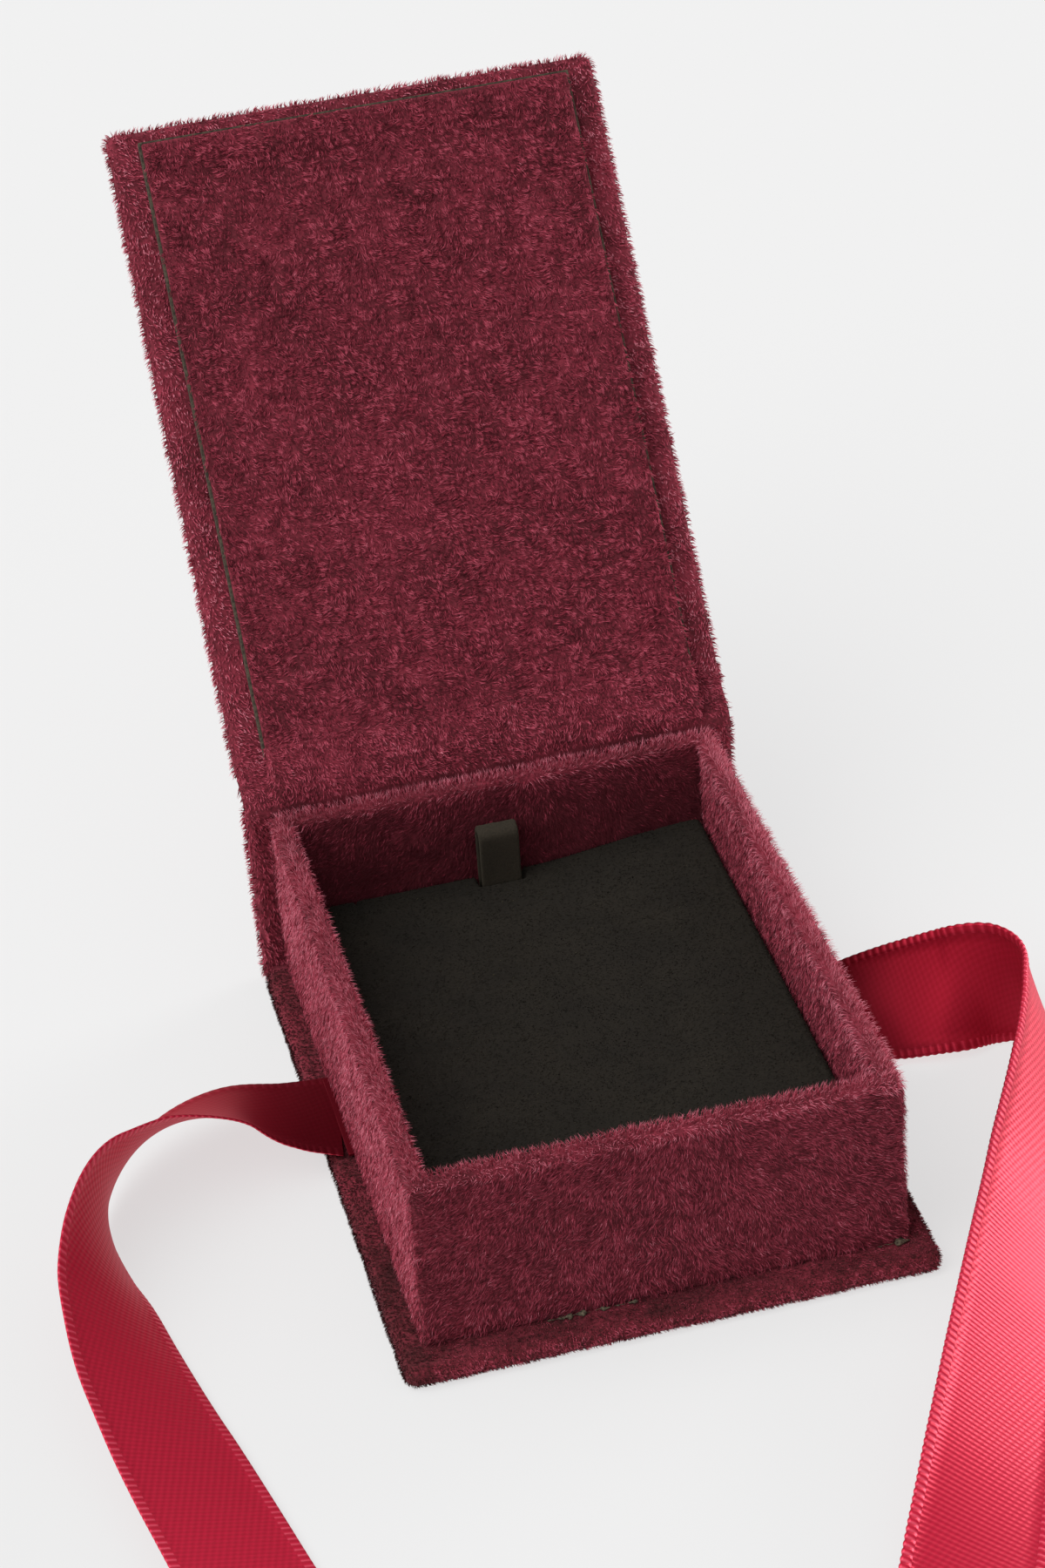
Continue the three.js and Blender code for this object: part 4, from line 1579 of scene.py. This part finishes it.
def build_panels(lid_place: Place, spine_place: Place, finishes: Finishes) -> None:
    """Makes the base, the spine and the lid, with pile only where it can be seen.

    Args:
        lid_place: where the lid stands open.
        spine_place: where the spine stands.
        finishes: the box's finishes.
    """
    tray = span(*[f"tray_cover_{side}" for side in SIDES])[1]
    half = local_span("liner_cover", lid_place)
    plush = (finishes.plush, finishes.ground)

    def base_bare(p: Array, n: Array) -> Array:
        """True where the base is hidden by the tray, or lies on the table."""
        hidden = (np.abs(p[..., 0]) < tray[0] - 0.3) & (np.abs(p[..., 1]) < tray[1] - 0.3)
        return hidden | (n[..., 2] < -0.92)

    def spine_bare(p: Array, n: Array) -> Array:
        """True where the spine faces the tray, or the base."""
        return (p[..., 2] > 2.6) & (np.abs(p[..., 0]) < tray[0]) | (n[..., 1] < -0.7)

    def lid_bare(p: Array, n: Array) -> Array:
        """True where the liner covers the lid."""
        beside = (np.abs(p[..., 0]) < half[1][0] - 0.2) & (p[..., 1] > half[0][1] + 0.2)
        return (p[..., 2] > -0.6) & beside & (p[..., 1] < half[1][1] - 0.2)

    # painted shade: the base's pile is darker, darkest on the ledge left of the tray
    base = Panel("base_velvet", "base_cover", "box", Place(), finishes.shaded_plush, finishes.shaded_ground,
                 Seed.BASE_PILE, (0.3, -1.0, 0.0), Nap(length=0.6, per_mm2=15.0, rise_deg=30, gather=0.3),
                 shaded=0.5, shaded_left=3.0, corner=1.7, fine=7.0, ground_in=0.25)
    base.build(base_bare, base_pile=everything)
    dress(["base_board", "spine_board", "lid_board"], finishes.board)
    spine = Panel("spine_velvet", "spine_cover", "box", spine_place, *plush, Seed.SPINE_PILE)
    spine.build(spine_bare, spine_pile=everything)
    # painted light: shaded=-0.9 makes the lid's pile lighter
    lid = Panel("lid_velvet", "lid_cover", "lid", lid_place, *plush, Seed.LID_PILE, shaded=-0.9, fine=7.0)
    lid.build(lid_bare, lid_pile_back=lambda root: root[:, 2] < -1.7,
              lid_pile_front=lambda root: root[:, 2] >= -1.7)


def main() -> None:
    """Builds the box piece by piece."""
    logging.basicConfig(level=logging.INFO, format="%(name)s: %(message)s")
    hinge = next(j for j in frame["joints"] if j["name"] == "lid_hinge")
    axis = tuple(float(c) / MM for c in hinge["pos_m"])
    lid_place = Place(axis, -float(hinge["range_deg"][0]))
    spine_place = Place((0.0, float(span("spine_cover")[1][1]), 0.0), 90.0)
    Studio().build()
    finishes = Finishes()
    Ribbon(finishes).build()
    Tray(finishes).build()
    build_panels(lid_place, spine_place, finishes)
    Liner(lid_place, finishes).build()
    Pad(finishes).build()
    Hinge(lid_place, finishes).build()


if __name__ == "__main__":
    main()
